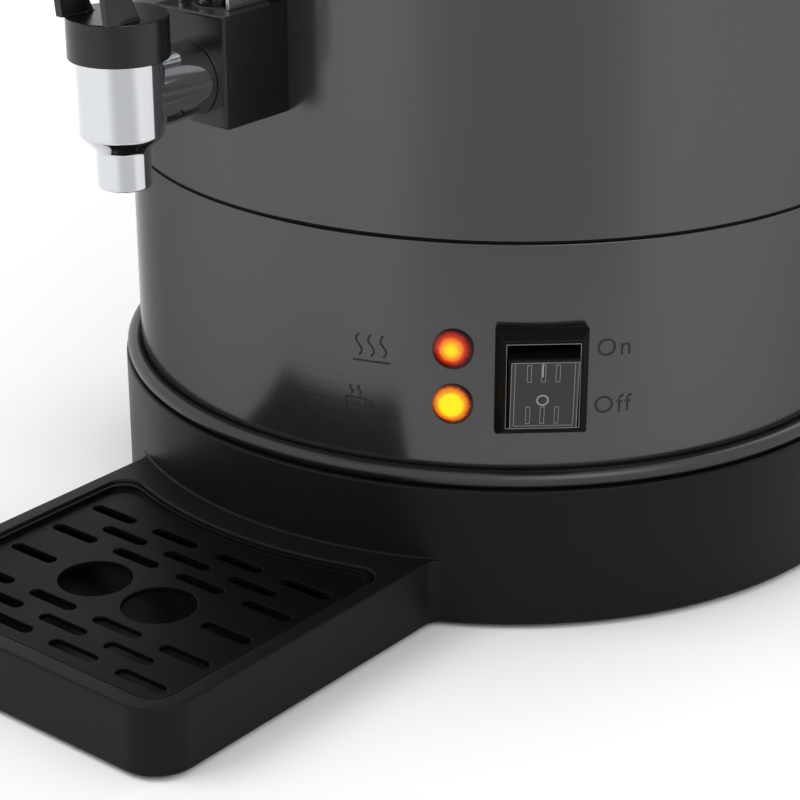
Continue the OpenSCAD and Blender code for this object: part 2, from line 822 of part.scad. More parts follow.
// A loop handle: two legs on the jacket and a bar that runs between them
module handle(side) color(plastic) {
    out = body_r + handle_reach;
    inner_x = out - handle_t;
    inner_half = handle_half_l - handle_t;
    inner_corner = handle_corner_in;
    at(90 * side) difference() {
        translate([0, 0, handle_z - handle_h / 2]) linear_extrude(handle_h) difference() {
            polygon(concat([[handle_half_l, -body_r / 2], [-handle_half_l, -body_r / 2]],
                arc([-handle_half_l + handle_corner, -out + handle_corner], handle_corner, 180, 270),
                arc([handle_half_l - handle_corner, -out + handle_corner], handle_corner, 270, 360)));
            polygon(concat([[inner_half, -body_r / 2], [-inner_half, -body_r / 2]],
                arc([-inner_half + inner_corner, -inner_x + inner_corner], inner_corner, 180, 270),
                arc([inner_half - inner_corner, -inner_x + inner_corner], inner_corner, 270, 360)));
        }
        disc(handle_z - handle_h, 2 * handle_h, handle_in);
        for (s = [-1, 1]) translate([0, 0, handle_z]) at(s * handle_screw_turn)
            spoke(body_r - over, body_r + handle_screw_l + 1, handle_screw_r + snug);
    }
}

module handle_left() handle(-1);
module handle_right() handle(1);

module handle_screw_places() for (side = [-90, 90]) for (s = [-1, 1])
    translate([0, 0, handle_z]) at(side + s * handle_screw_turn) children();

// Pan-head screw that goes outwards through the jacket from inside
module wall_screw(l) {
    under_head = body_r - sheet - wall_head_gap;
    spoke(under_head, body_r + l, handle_screw_r);
    spoke(under_head - wall_head_t, under_head, wall_head_r);
}

module handle_screws() color(steel) handle_screw_places() wall_screw(handle_screw_l);

// ---------------------------------------------------------------- switch and lamps

module switch_housing() color(plastic) translate([0, 0, switch_z]) at(switch_az) difference() {
    union() {
        brick(bezel_u, bezel_u + bezel_t, bezel_w, bezel_h);
        translate([0, -bezel_u - bezel_t, 0]) bezel_slope();
        brick(bezel_u - switch_d, bezel_u, switch_w, switch_h);
    }
    brick(bezel_u - switch_d + switch_back_t, rim_u + 1, mouth_w, mouth_h);
    translate([0, -pivot_u, 0]) cross(switch_w + 2, rocker_pin_r + pin_gap);
}

// The bezel's face rises from its edge to the rim of the rocker's mouth
module bezel_slope() {
    run_x = (bezel_w - mouth_w) / 2 - bezel_land;
    run_z = (bezel_h - mouth_h) / 2 - bezel_land;
    intersection() {
        translate([0, 0, -bezel_h / 2]) linear_extrude(bezel_h) polygon([
            [-bezel_w / 2, 0], [bezel_w / 2, 0],
            [bezel_w / 2 - run_x, -bezel_rise], [-bezel_w / 2 + run_x, -bezel_rise]]);
        translate([-bezel_w / 2, 0, 0]) rotate([90, 0, 90]) linear_extrude(bezel_w) polygon([
            [0, -bezel_h / 2], [0, bezel_h / 2],
            [-bezel_rise, bezel_h / 2 - run_z], [-bezel_rise, -bezel_h / 2 + run_z]]);
    }
}

module switch_terminals() color("gold") translate([0, 0, switch_z]) at(switch_az)
    for (i = [-1:1]) translate([0, 0, i * blade_pitch])
        brick(bezel_u - switch_d - blade_l, bezel_u - switch_d, blade_w, blade_t);

// Drawn with the lower end pressed, which is off
module switch_rocker() color(tinted) translate([0, 0, switch_z]) at(switch_az)
    translate([0, -pivot_u, 0]) rotate([rocker_tilt, 0, 0]) {
        c = rocker_chamfer;
        w = rocker_w / 2;
        h = rocker_h / 2;
        back = rocker_face - rocker_d;
        intersection() {
            translate([0, 0, -h]) linear_extrude(2 * h) polygon([
                [-w, -back], [-w, -rocker_face + c], [-w + c, -rocker_face],
                [w - c, -rocker_face], [w, -rocker_face + c], [w, -back]]);
            translate([-w, 0, 0]) rotate([90, 0, 90]) linear_extrude(2 * w) polygon([
                [-back, -h + rocker_foot], [-back - rocker_foot, -h], [-rocker_face + c, -h],
                [-rocker_face, -h + c], [-rocker_face, h - c], [-rocker_face + c, h],
                [-back - rocker_foot, h], [-back, h - rocker_foot]]);
        }
        cross(switch_w, rocker_pin_r);
    }

module lens() translate([0, -panel_r - lens_gap, 0]) rotate([90, 0, 0]) rotate_extrude() {
    dome_in = lens_r - lens_shoulder;
    dome_r = (pow(dome_in, 2) + pow(lens_dome, 2)) / (2 * lens_dome);
    translate([0, -lamp_d / 3]) square([lamp_neck_r, lamp_d / 3 + lens_flange]);
    square([lens_r, lens_flange]);
    intersection() {
        translate([0, lens_flange + lens_dome - dome_r]) circle(r = dome_r);
        square([dome_in, lens_flange + lens_dome]);
    }
}

module heating_lamp_lens() color("orangered")
    translate([0, 0, panel_z + lamp_up]) at(lamp_az) lens();

module keep_warm_lamp_lens() color("orange")
    translate([0, 0, panel_z + lamp_up - lamp_pitch]) at(lamp_az) lens();

module lamp_holders() color("white") lamp_places() difference() {
    spoke(panel_r - lamp_d, panel_r - sheet - holder_gap, lamp_neck_r + holder_wall);
    spoke(panel_r - lamp_d / 3 - fit, panel_r, lamp_neck_r + snug);
    spoke(panel_r - lamp_d + holder_wall, panel_r, holder_bore);
}

// ---------------------------------------------------------------- tap and gauge

module gauge_block() color(plastic) difference() {
    translate([0, 0, tap_z + (block_up - block_down) / 2])
        brick(body_r - over, block_y, 2 * block_half_w, block_up + block_down);
    disc(tap_z - block_down - 1, block_up + block_down + 2, body_r + snug);
    translate([0, 0, tap_z]) spoke(body_r - 2 * over, block_y + 1, shank_r + shank_gap);
    translate([0, -gauge_y, 0]) {
        disc(tap_z, block_up + 1, gauge_r - gauge_wall);
        disc(gauge_z, socket_d + 1, seat_gauge_r + snug);
    }
}

module gauge_tube() color("lightcyan") translate([0, -gauge_y, 0])
    tube(gauge_z, gauge_end - gauge_z, gauge_r, gauge_r - gauge_wall);

module gauge_seals() color(rubber) translate([0, -gauge_y, 0]) {
    tube(gauge_z, socket_d, seat_gauge_r, gauge_r + snug);
    tube(cap_z, socket_d, seat_gauge_r, gauge_r + snug);
}

// A channel open to the front, from the block up to the cap
module gauge_guard() color(steel) {
    w = 2 * guard_half;
    z0 = tap_z + block_up;
    back = body_r + guard_gap;
    mid = (z0 + cap_z) / 2;
    difference() {
        translate([0, 0, mid]) brick(back, gauge_y + gauge_r, w, cap_z - z0);
        translate([0, 0, mid]) brick(back + guard_t, gauge_y + gauge_r + 1, w - 2 * guard_t,
                                     cap_z - z0 + 2);
    }
}

module gauge_cap() color(plastic) difference() {
    translate([0, 0, (cap_z + gauge_top) / 2])
        brick(body_r - over, gauge_y + seat_gauge_r + cap_wall, 2 * cap_half, gauge_top - cap_z);
    disc(cap_z - 1, gauge_top - cap_z + 2, body_r + snug);
    translate([0, -gauge_y, 0]) disc(cap_z - 1, socket_d + 1, seat_gauge_r + snug);
    translate([0, 0, gauge_screw_z])
        spoke(body_r - over, body_r + gauge_screw_l + 1, handle_screw_r + snug);
}

module gauge_screw() color(steel) translate([0, 0, gauge_screw_z]) wall_screw(gauge_screw_l);

module tap_shank() color(steel) difference() {
    translate([0, 0, tap_z]) spoke(nut_u - nut_proud, block_y + shank_in, shank_r);
    translate([0, 0, tap_z]) spoke(nut_u - nut_proud - 1, block_y + shank_in + 1, shank_bore);
    translate([0, -gauge_y, 0]) disc(tap_z, shank_r + 1, gauge_r - gauge_wall - 1);
}

module tap_nut() color(steel) translate([0, 0, tap_z]) difference() {
    translate([0, -nut_u, 0]) rotate([90, 0, 0])
        cylinder(r = nut_half / cos(30), h = nut_t, $fn = 6);
    spoke(nut_u - 1, tank_in, shank_r + snug);
}

module tank_seal() color("firebrick") difference() {
    translate([0, 0, tap_z]) spoke(tank_in - seal_t, tank_in + 1, seal_half);
    translate([0, 0, tap_z]) spoke(tank_in - seal_t - 1, tank_in + 2, shank_r + snug);
    tube(tap_z - cut_h / 2, cut_h, tank_in + over, tank_in - snug, $fn = 360);
}

module shank_spacer() color(steel) difference() {
    translate([0, 0, tap_z]) spoke(tank_r - over, body_r, shank_r + spacer_wall);
    translate([0, 0, tap_z]) spoke(tank_r - over - 1, body_r + 1, shank_r + shank_gap);
    disc(tap_z - cut_h / 2, cut_h, tank_r + snug);
    tube(tap_z - cut_h / 2, cut_h, body_r + over, body_r - sheet - snug);
}

module tap_body() color(steel) difference() {
    union() {
        translate([0, 0, tap_z]) spoke(block_y, spout_reach, shank_r + tap_wall);
        translate([0, -spout_reach, 0]) {
            disc(seat_tap_z, chamber_top - seat_tap_z, chamber_r);
            disc(seat_tap_z - spout_h, spout_h + 1, spout_r);
            translate([0, 0, seat_tap_z - spout_taper])
                cylinder(r1 = spout_r, r2 = chamber_r, h = spout_taper);
        }
    }
    translate([0, 0, tap_z]) {
        spoke(block_y - 1, spout_reach, shank_bore);
        spoke(block_y - 1, block_y + shank_in + fit, shank_r + snug);
    }
    translate([0, -spout_reach, 0]) {
        disc(seat_tap_z + valve_seat_t, chamber_up + chamber_down, chamber_bore);
        disc(seat_tap_z - spout_h - 1, spout_h + valve_seat_t + 2, spout_bore);
    }
}

module tap_bonnet() color(plastic) translate([0, -spout_reach, 0]) difference() {
    union() {
        disc(chamber_top, bonnet_t, bonnet_r);
        tube(chamber_top - bonnet_skirt, bonnet_skirt + eps, bonnet_r, chamber_r + snug);
        for (s = [-1, 1]) bonnet_ear(s);
    }
    disc(chamber_top - 1, bonnet_t + 2, stem_r + pin_gap);
    translate([0, -pivot_off, pivot_z]) cross(3 * ear_out, lever_pin_r + pin_gap);
}

module bonnet_ear(s) translate([s * (ear_out - arm_t / 2) - arm_t / 2, 0, 0])
    rotate([90, 0, 90]) linear_extrude(arm_t) polygon(concat(
        arc([-pivot_off, pivot_z], hub_r, 20, 160, 10),
        [[-pivot_off - ear_front, bonnet_top - eps], [-pivot_off + ear_back, bonnet_top - eps]]));

// The stem's lower end carries the plug; the lever's pegs lift it by its head
module valve_stem() color(steel) translate([0, -spout_reach, 0]) {
    disc(plug_z, pivot_z + peg_r + stem_end - plug_z, stem_r);
    disc(plug_z + plug_h, stem_flange_t, spring_r + 1);
    disc(pivot_z + peg_r + fit, stem_head_t, arm_in - fit - snug);
}

module valve_plug() color("firebrick") translate([0, -spout_reach, 0])
    tube(plug_z, plug_h, chamber_bore - plug_gap, stem_r + snug);

// A close stack of rings stands in for the coils
module valve_spring() color(steel) translate([0, -spout_reach, 0]) {
    z0 = plug_z + plug_h + stem_flange_t + wire;
    z1 = chamber_top - wire;
    gap = (z1 - z0) / spring_turns;
    for (i = [0:spring_turns]) translate([0, 0, z0 + i * gap])
        rotate_extrude() translate([spring_r - wire, 0]) circle(r = wire, $fn = 16);
    for (i = [0:spring_turns - 1]) rotate([0, 0, i * 60])
        translate([spring_r - wire, 0, z0 + i * gap]) cylinder(r = wire / 2, h = gap, $fn = 16);
}

module lever_pin() color(steel) translate([0, -lever_y, pivot_z])
    cross(2 * ear_out + 1, lever_pin_r);

module tap_lever() color(plastic) translate([0, -lever_y, pivot_z]) difference() {
    union() {
        for (s = [-1, 1]) {
            translate([s * (arm_in + arm_t / 2) - arm_t / 2, 0, 0]) rotate([90, 0, 90])
                linear_extrude(arm_t) polygon(concat(
                    arc([pivot_off, 0], finger_end_r, 90, -90), arc([0, 0], hub_r, -60, -120),
                    [[-arm_l, arm_low], [-arm_l, arm_high]], arc([0, 0], hub_r, 120, 60)));
            translate([s * (arm_in - peg_l / 2), pivot_off, 0]) cross(peg_l + 2 * eps, peg_r);
        }
        translate([-paddle_w / 2, 0, 0]) rotate([90, 0, 90]) linear_extrude(paddle_w)
            polygon([[-paddle_root / 2, arm_low], [-paddle_root / 2, arm_high],
                     [-paddle_root, paddle_root_high], [-paddle_l + 1, paddle_rise],
                     [-paddle_l, (paddle_rise + paddle_drop) / 2], [-paddle_l + 1, paddle_drop],
                     [-paddle_root, paddle_root_low]]);
    }
    cross(2 * ear_out, lever_pin_r + pin_gap);
}

// ---------------------------------------------------------------- pump, basket and lid

module pump_tube() color(steel) {
    neck_z = bell_z + bell_h;
    difference() {
        union() {
            disc(neck_z - 1, floor_z + pump_top - neck_z + 1, pump_r);
            translate([0, 0, bell_z]) cylinder(r1 = bell_r, r2 = pump_r, h = bell_h);
            disc(basket_z - collar_h, collar_h - fit, pump_r + collar_w);
        }
        disc(bell_z - 1, floor_z + pump_top, pump_r - pump_wall);
        translate([0, 0, bell_z - eps])
            cylinder(r1 = bell_r - sheet, r2 = pump_r - sheet, h = bell_h);
        for (a = [0:60:300]) at(a) translate([-inlet_slot_w / 2, -bell_r - 1, bell_z - 1])
            cube([inlet_slot_w, inlet_slot_w + 2, inlet_slot_h + 1]);
    }
}

// A loose ring under the bell, which closes as the water boils up
module pump_valve() color(steel)
    tube(bell_z + valve_gap, valve_t, bell_r - valve_edge, pump_r - pump_wall);

module coffee_basket() color(steel) difference() {
    union() {
        tube(basket_z, basket_h, basket_r, basket_r - sheet);
        disc(basket_z, sheet, basket_r);
        disc(basket_z, basket_h - basket_sleeve_gap, basket_in + sheet);
    }
    disc(basket_z - 1, basket_h + 2, basket_in);
    for (r = [basket_in + basket_ring + 2:basket_ring:basket_r - drain_edge])
        for (a = [0:360 / floor(r / basket_drain):359]) at(a)
        translate([0, -r, basket_z - 1]) cylinder(r = drain_r, h = sheet + 2, $fn = 16);
}

module basket_spreader() color(steel) difference() {
    union() {
        disc(spreader_z + fit, sheet, basket_r + spreader_over);
        tube(spreader_z - spreader_rim_h, spreader_rim_h + fit + eps, basket_r + spreader_over,
             basket_r + spreader_over - sheet);
        disc(spreader_z + fit, spreader_rim_h, basket_in + spreader_hub_w);
    }
    disc(spreader_z - 1, spreader_rim_h + 3, basket_in + fit);
    for (r = [spreader_ring + 6:spreader_ring:basket_r - drain_edge])
        for (a = [0:360 / floor(r / spreader_drain):359]) at(a)
            translate([0, -r, spreader_z - 1]) cylinder(r = drain_r, h = sheet + 3, $fn = 16);
}

// A shallow spun dome with a flat rim and a skirt that centres it in the tank
module lid() color(tinted) {
    c = dome_base + dome_h - dome_s;
    difference() {
        rotate_extrude($fn = 128) {
            intersection() {
                difference() {
                    translate([0, c]) circle(r = dome_s, $fn = 720);
                    translate([0, c]) circle(r = dome_s - sheet, $fn = 720);
                }
                translate([0, lid_z]) square([lid_r, dome_h + over]);
            }
            translate([lid_skirt_r - sheet, lid_z - lid_skirt_h])
                square([sheet, lid_skirt_h + 2 * sheet]);
            translate([lid_skirt_r - sheet, lid_z]) square([lid_r - lid_skirt_r + sheet, sheet]);
        }
        disc(lid_z, dome_h + over, knob_screw_r + snug);
        for (a = [130:10:150]) at(a) translate([0, -lid_vent_ring, 0])
            disc(lid_z, dome_h + over, lid_vent_r);
    }
}

module lid_gasket() color(rubber)
    tube(lid_z - lid_skirt_h, gasket_h, tank_in - fit, lid_skirt_r + snug);

module lid_knob() color(plastic) difference() {
    translate([0, 0, knob_z]) rotate_extrude()
        polygon(concat([[0, 0], [knob_seat_r, 0], [knob_seat_r, knob_seat_h],
                        [knob_neck_r, knob_foot_h], [knob_neck_r, knob_h - knob_grip_h],
                        [knob_r - 1, knob_h - knob_grip_z]],
                       arc([knob_r - knob_edge_r, knob_h - 2 * knob_edge_r + 1], knob_edge_r,
                           -30, 80),
                       [[0, knob_h]]));
    disc(knob_z - 1, knob_h - knob_screw_d, knob_screw_r + snug);
}

module knob_screw() color(steel) {
    under = dome_top - sheet - knob_gap;
    disc(under - 3, 3, knob_screw_r * 2.5);
    disc(under - eps, knob_h - knob_screw_d - 2, knob_screw_r);
}

// ---------------------------------------------------------------- heaters and wiring

module brew_heater() color("gray") disc(well_z - sheet - brew_heater_t, brew_heater_t, well_r - 1);

module warm_heater() color("gray") translate([0, 0, under_z - warm_r]) rotate([0, 0, -60])
    rotate_extrude(angle = warm_turn) translate([warm_ring, 0]) circle(r = warm_r, $fn = 32);

module thermostats() color("ivory") {
    translate([0, warm_ring + warm_r + stat_r + stat_gap, 0])
        disc(under_z - stat_h, stat_h, stat_r);
    disc(well_z - sheet - brew_heater_t - stat_h, stat_h, stat_r);
}

module rod_places() for (a = [0:120:240]) at(a) translate([0, -rod_ring, 0]) children();

module tie_rods() color(steel) rod_places() {
    z0 = clamp_z - rod_nut_t - rod_tail;
    disc(z0, under_z - z0, rod_r);
}

module rod_nuts() color(steel) rod_places() difference() {
    translate([0, 0, clamp_z - rod_nut_t]) cylinder(r = rod_nut_r, h = rod_nut_t, $fn = 6);
    disc(clamp_z - rod_nut_t - 1, rod_nut_t + 2, rod_r + snug);
}

module clamp_plate() color(steel) difference() {
    tube(clamp_z, clamp_t, clamp_r, clamp_r - clamp_w);
    rod_places() disc(clamp_z - 1, clamp_t + 2, rod_r + snug);
    inlet_lead_places() disc(clamp_z - 1, clamp_t + 2, wire_r + snug);
}

module power_inlet() color(plastic) at(180) difference() {
    translate([0, 0, inlet_z]) {
        brick(inlet_face, inlet_face + inlet_rim_t, inlet_w + 2 * inlet_border,
              inlet_h + 2 * inlet_border);
        brick(inlet_face - inlet_d, inlet_face, inlet_w, inlet_h);
    }
    translate([0, 0, inlet_z])
        brick(inlet_face - inlet_socket_d, inlet_face + inlet_rim_t + 1,
              inlet_w - 2 * inlet_wall, inlet_h - 2 * inlet_wall);
    inlet_pin_places() brick(inlet_face - inlet_d - 1, inlet_face, pin_w + snug, pin_h + snug);
}

module inlet_pins() color("gold") at(180) inlet_pin_places()
    brick(pin_back, inlet_face - inlet_rim_t, pin_w, pin_h);

module inlet_pin_places() for (i = [-1:1])
    translate([i * pin_pitch, 0, inlet_z + (i == 0 ? pin_h / 2 : -1.5)]) children();

module inlet_lead_places() at(180) for (i = [-1:1])
    translate([i * pin_pitch, -pin_back + wire_r + snug, 0]) children();

// Sits on the clamp plate above the inlet's pins
module terminal_block() color("ivory") translate([0, 0, clamp_z + clamp_t + block_h / 2]) at(180)
    brick(block_in, pin_back + block_edge + 1, block_w, block_h);

// Three leads lie round the clamp plate and rise to the switch; three more rise from the inlet
module wiring() color("firebrick") {
    for (i = [0:2]) {
        x = (i - 1) * loom_step;
        z = loom_z + i * loom_step;
        top = switch_z + (i - 1) * blade_pitch;
        end = 270 - asin((block_w / 2 + snug) / loom_u);
        turn = asin(x / loom_u);
        at(switch_az) translate([x, -loom_u * cos(turn), z - riser_r])
            cylinder(r = riser_r, h = top - z + 2 * riser_r);
        rotate([0, 0, switch_az + turn - 90]) translate([0, 0, z])
            rotate_extrude(angle = end - 90 - switch_az - turn)
                translate([loom_u, 0]) circle(r = wire_r, $fn = 32);
    }
    inlet_lead_places()
        disc(inlet_z - pin_lead_z, clamp_z + clamp_t - inlet_z + pin_lead_z, wire_r);
}

base_housing();
bottom_cover();
cover_screws();
foot_ring();
shelf_feet();
trim_ring();
control_panel();
seam_ring();
outer_jacket();
inner_tank();
top_ring();
handle_left();
handle_right();
handle_screws();
switch_housing();
switch_terminals();
switch_rocker();
heating_lamp_lens();
keep_warm_lamp_lens();
lamp_holders();
gauge_block();
gauge_tube();
gauge_seals();
gauge_guard();
gauge_cap();
gauge_screw();
tap_shank();
tap_nut();
tank_seal();
shank_spacer();
tap_body();
tap_bonnet();
valve_stem();
valve_plug();
valve_spring();
lever_pin();
tap_lever();
drip_pan();
drip_grid();
pump_tube();
pump_valve();
coffee_basket();
basket_spreader();
lid();
lid_gasket();
lid_knob();
knob_screw();
brew_heater();
warm_heater();
thermostats();
tie_rods();
rod_nuts();
clamp_plate();
power_inlet();
inlet_pins();
terminal_block();
wiring();
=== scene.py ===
"""Looks of the percolator coffee urn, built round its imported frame. Metres, Z up, tap at -Y."""

import logging
import math
from collections.abc import Callable, Iterable, Sequence
from dataclasses import dataclass, field
from enum import Enum
from typing import Any

import bmesh
import bpy
from bmesh.types import BMEdge, BMesh, BMVert
from bpy.types import ID, Material, Mesh, Node, NodeSocket, NodeTree, Object
from mathutils import Matrix, Vector


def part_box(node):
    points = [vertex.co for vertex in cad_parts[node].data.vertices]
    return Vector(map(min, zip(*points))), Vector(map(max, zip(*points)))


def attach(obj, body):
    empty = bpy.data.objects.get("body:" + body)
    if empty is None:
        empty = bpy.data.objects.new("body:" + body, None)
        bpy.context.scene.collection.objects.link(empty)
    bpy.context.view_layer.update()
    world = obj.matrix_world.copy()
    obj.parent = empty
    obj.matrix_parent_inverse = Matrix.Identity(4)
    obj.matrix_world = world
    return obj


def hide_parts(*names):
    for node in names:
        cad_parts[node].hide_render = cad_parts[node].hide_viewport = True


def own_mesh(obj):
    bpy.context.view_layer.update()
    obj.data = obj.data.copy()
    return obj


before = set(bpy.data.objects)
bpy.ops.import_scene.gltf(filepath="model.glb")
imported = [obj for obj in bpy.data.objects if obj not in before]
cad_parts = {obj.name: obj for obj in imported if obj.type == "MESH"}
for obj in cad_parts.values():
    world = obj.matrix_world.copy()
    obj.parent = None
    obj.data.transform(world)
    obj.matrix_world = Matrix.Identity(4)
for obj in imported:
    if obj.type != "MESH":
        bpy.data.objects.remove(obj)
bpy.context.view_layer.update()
LOG = logging.getLogger("urn")

MM = 0.001
SHEET = 0.8 * MM        # thickness of the steel sheet
MERGE = 0.001 * MM      # corners of a turned mesh closer than this are one
CAD_MERGE = 0.002 * MM  # and of the copy of a solid
ROUND_STEPS = 256       # steps of the large turned pieces
SMALL_STEPS = 64        # steps of the small turned pieces
SMOOTH_DEG = 32.0       # edges flatter than this are shaded smooth
STAND_UP = Matrix.Rotation(math.pi / 2, 4, "X")     # turns a face that looks up towards the tap

EdgeTest = Callable[[BMEdge], bool]
Sockets = dict[str, NodeSocket]         # output sockets, by the input that each one feeds
Stops = Sequence[tuple[float, str]]     # positions and sRGB colours of a colour ramp


# ---------------------------------------------------------------- finishes

class Grain(Enum):
    """Which way the fine lines of a metal's finish run."""

    ROUND_BODY = "round the body"
    CONCENTRIC = "in rings round the axis"
    UPRIGHT = "up and down"
    NONE = "no lines"


def linear(colour: str) -> tuple[float, float, float, float]:
    """Turns an sRGB hex colour to linear light.

    Args:
        colour: Six hex digits, with or without a leading #.

    Returns:
        Red, green and blue in linear light, and an alpha of 1.
    """
    digits = colour.lstrip("#")
    parts = [int(digits[i:i + 2], 16) / 255 for i in (0, 2, 4)]
    light = [c / 12.92 if c <= 0.04045 else ((c + 0.055) / 1.055) ** 2.4 for c in parts]
    return (light[0], light[1], light[2], 1.0)


def per_mm(size: float) -> float:
    """Returns the texture scale at which one feature measures that many millimetres."""
    return 1 / (size * MM)


def add_node(tree: NodeTree, kind: str, settings: dict[str | int, Any] | None = None,
             links: dict[str | int, NodeSocket] | None = None, stops: Stops = ()) -> Node:
    """Adds one shader node with its settings and links.

    Args:
        tree: Node tree that the node goes into.
        kind: Blender's name of the node's type, without its ShaderNode.
        settings: Values of the node's own properties or, by name or number, of its inputs.
        links: Output sockets that feed the node's inputs.
        stops: Positions and sRGB colours of a colour ramp.

    Returns:
        The new node.
    """
    node = tree.nodes.new(f"ShaderNode{kind}")
    for key, value in (settings or {}).items():
        if isinstance(key, str) and key in node.bl_rna.properties:
            setattr(node, key, value)
        else:
            node.inputs[key].default_value = value
    for key, socket in (links or {}).items():
        tree.links.new(socket, node.inputs[key])
    for number, (place, colour) in enumerate(stops):
        elements = node.color_ramp.elements
        stop = elements[number] if number < 2 else elements.new(place)
        stop.position = place
        stop.color = linear(colour)
    return node


@dataclass(frozen=True)
class Finish:
    """A surface finish. Each kind of finish adds its own pattern in detail()."""

    name: str
    colour: str
    roughness: float
    metallic: float = 0.0
    ior: float = 1.5
    spread: float = 0.05        # how far the roughness goes to either side of its value

    def material(self) -> Material:
        """Returns the finish as a material, which is made on first use."""
        known = bpy.data.materials.get(self.name)
        if known:
            return known
        made = bpy.data.materials.new(self.name)
        made.use_nodes = True
        made.diffuse_color = linear(self.colour)
        tree = made.node_tree
        shader = tree.nodes["Principled BSDF"]
        for name, value in self.constants().items():
            shader.inputs[name].default_value = value
        place = add_node(tree, "TexCoord").outputs["Object"]
        for name, socket in self.detail(tree, place).items():
            tree.links.new(socket, shader.inputs[name])
        return made

    def constants(self) -> dict[str, Any]:
        """Returns what is the same all over the surface, by the shader's input."""
        values = {"Base Color": linear(self.colour), "Roughness": self.roughness,
                  "Metallic": self.metallic}
        return values if self.metallic else values | {"IOR": self.ior}

    def detail(self, tree: NodeTree, place: NodeSocket) -> Sockets:
        """Adds the pattern of the finish.

        Args:
            tree: The material's node tree.
            place: The piece's own coordinates.

        Returns:
            What follows the pattern, by the shader's input.
        """
        raise NotImplementedError

    def uneven(self, tree: NodeTree, pattern: NodeSocket) -> NodeSocket:
        """Returns a roughness that follows a pattern, by spread to either side."""
        return add_node(tree, "MapRange",
                        {"From Min": 0.3, "From Max": 0.7, "To Min": self.roughness - self.spread,
                         "To Max": self.roughness + self.spread},
                        {"Value": pattern}).outputs["Result"]


@dataclass(frozen=True)
class MouldedPlastic(Finish):
    """Injection-moulded plastic with the fine grit of a spark-eroded tool."""

    worn: str = "1c1c1d"
    grit_mm: float = 0.7        # drawn coarser than the real 0.15 mm grit, so that it shows
    grit_depth_mm: float = 0.02
    drift_mm: float = 35.0

    def detail(self, tree: NodeTree, place: NodeSocket) -> Sockets:
        """Adds grit, a slow drift of the tint and uneven gloss."""
        grit = add_node(tree, "TexNoise", {"Scale": per_mm(self.grit_mm), "Detail": 2.0},
                        {"Vector": place})
        drift = add_node(tree, "TexNoise", {"Scale": per_mm(self.drift_mm), "Detail": 3.0},
                         {"Vector": place}).outputs["Fac"]
        tint = add_node(tree, "Mix",
                        {"data_type": "RGBA", 6: linear(self.colour), 7: linear(self.worn)},
                        {0: drift})
        bump = add_node(tree, "Bump", {"Strength": 0.25, "Distance": self.grit_depth_mm * MM},
                        {"Height": grit.outputs["Fac"]})
        return {"Base Color": tint.outputs[2], "Roughness": self.uneven(tree, drift),
                "Normal": bump.outputs["Normal"]}


@dataclass(frozen=True)
class RolledSteel(Finish):
    """Steel sheet with fine finishing lines and the slight waviness that rolling leaves."""

    metallic: float = 1.0
    spread: float = 0.025
    grain: Grain = Grain.ROUND_BODY
    line_mm: float = 0.6        # drawn coarser than the real 0.1 mm lines, so that they show
    line_depth_mm: float = 0.002
    stretch: float = 0.02       # the lines' scale along their own length
    wave_mm: float = 55.0
    wave_depth_mm: float = 0.05
    edge: str = "ffffff"        # tint of the reflection at a grazing angle

    def constants(self) -> dict[str, Any]:
        """Adds the tint at a grazing angle."""
        return super().constants() | {"Specular Tint": linear(self.edge)}

    def detail(self, tree: NodeTree, place: NodeSocket) -> Sockets:
        """Adds the lines and the waviness."""
        wave = add_node(tree, "TexNoise", {"Scale": per_mm(self.wave_mm), "Detail": 1.0},
                        {"Vector": place})
        waved = add_node(tree, "Bump", {"Strength": 0.5, "Distance": self.wave_depth_mm * MM},
                         {"Height": wave.outputs["Fac"]})
        scale = {"Scale": per_mm(self.line_mm), "Detail": 2.0}
        if self.grain is Grain.CONCENTRIC:
            flat = add_node(tree, "VectorMath", {"operation": "MULTIPLY", 1: (1, 1, 0)},
                            {0: place})
            radius = add_node(tree, "VectorMath", {"operation": "LENGTH"},
                              {0: flat.outputs["Vector"]})
            lines = add_node(tree, "TexNoise", {"noise_dimensions": "1D"} | scale,
                             {"W": radius.outputs["Value"]})
        else:
            level = self.stretch if self.grain is Grain.ROUND_BODY else 1.0
            upright = self.stretch if self.grain is Grain.UPRIGHT else 1.0
            drawn = add_node(tree, "Mapping", {"Scale": (level, level, upright)},
                             {"Vector": place})
            lines = add_node(tree, "TexNoise", scale, {"Vector": drawn.outputs["Vector"]})
        bump = add_node(tree, "Bump", {"Strength": 0.4, "Distance": self.line_depth_mm * MM},
                        {"Height": lines.outputs["Fac"], "Normal": waved.outputs["Normal"]})
        return {"Roughness": self.uneven(tree, lines.outputs["Fac"]),
                "Normal": bump.outputs["Normal"]}


@dataclass(frozen=True)
class CastMetal(Finish):
    """Cast, sintered or stamped metal with a grainy skin."""

    metallic: float = 1.0
    spread: float = 0.08
    grain_mm: float = 1.2
    depth_mm: float = 0.08

    def detail(self, tree: NodeTree, place: NodeSocket) -> Sockets:
        """Adds the grainy skin."""
        skin = add_node(tree, "TexNoise", {"Scale": per_mm(self.grain_mm), "Detail": 4.0},
                        {"Vector": place}).outputs["Fac"]
        bump = add_node(tree, "Bump", {"Strength": 0.4, "Distance": self.depth_mm * MM},
                        {"Height": skin})
        return {"Roughness": self.uneven(tree, skin), "Normal": bump.outputs["Normal"]}


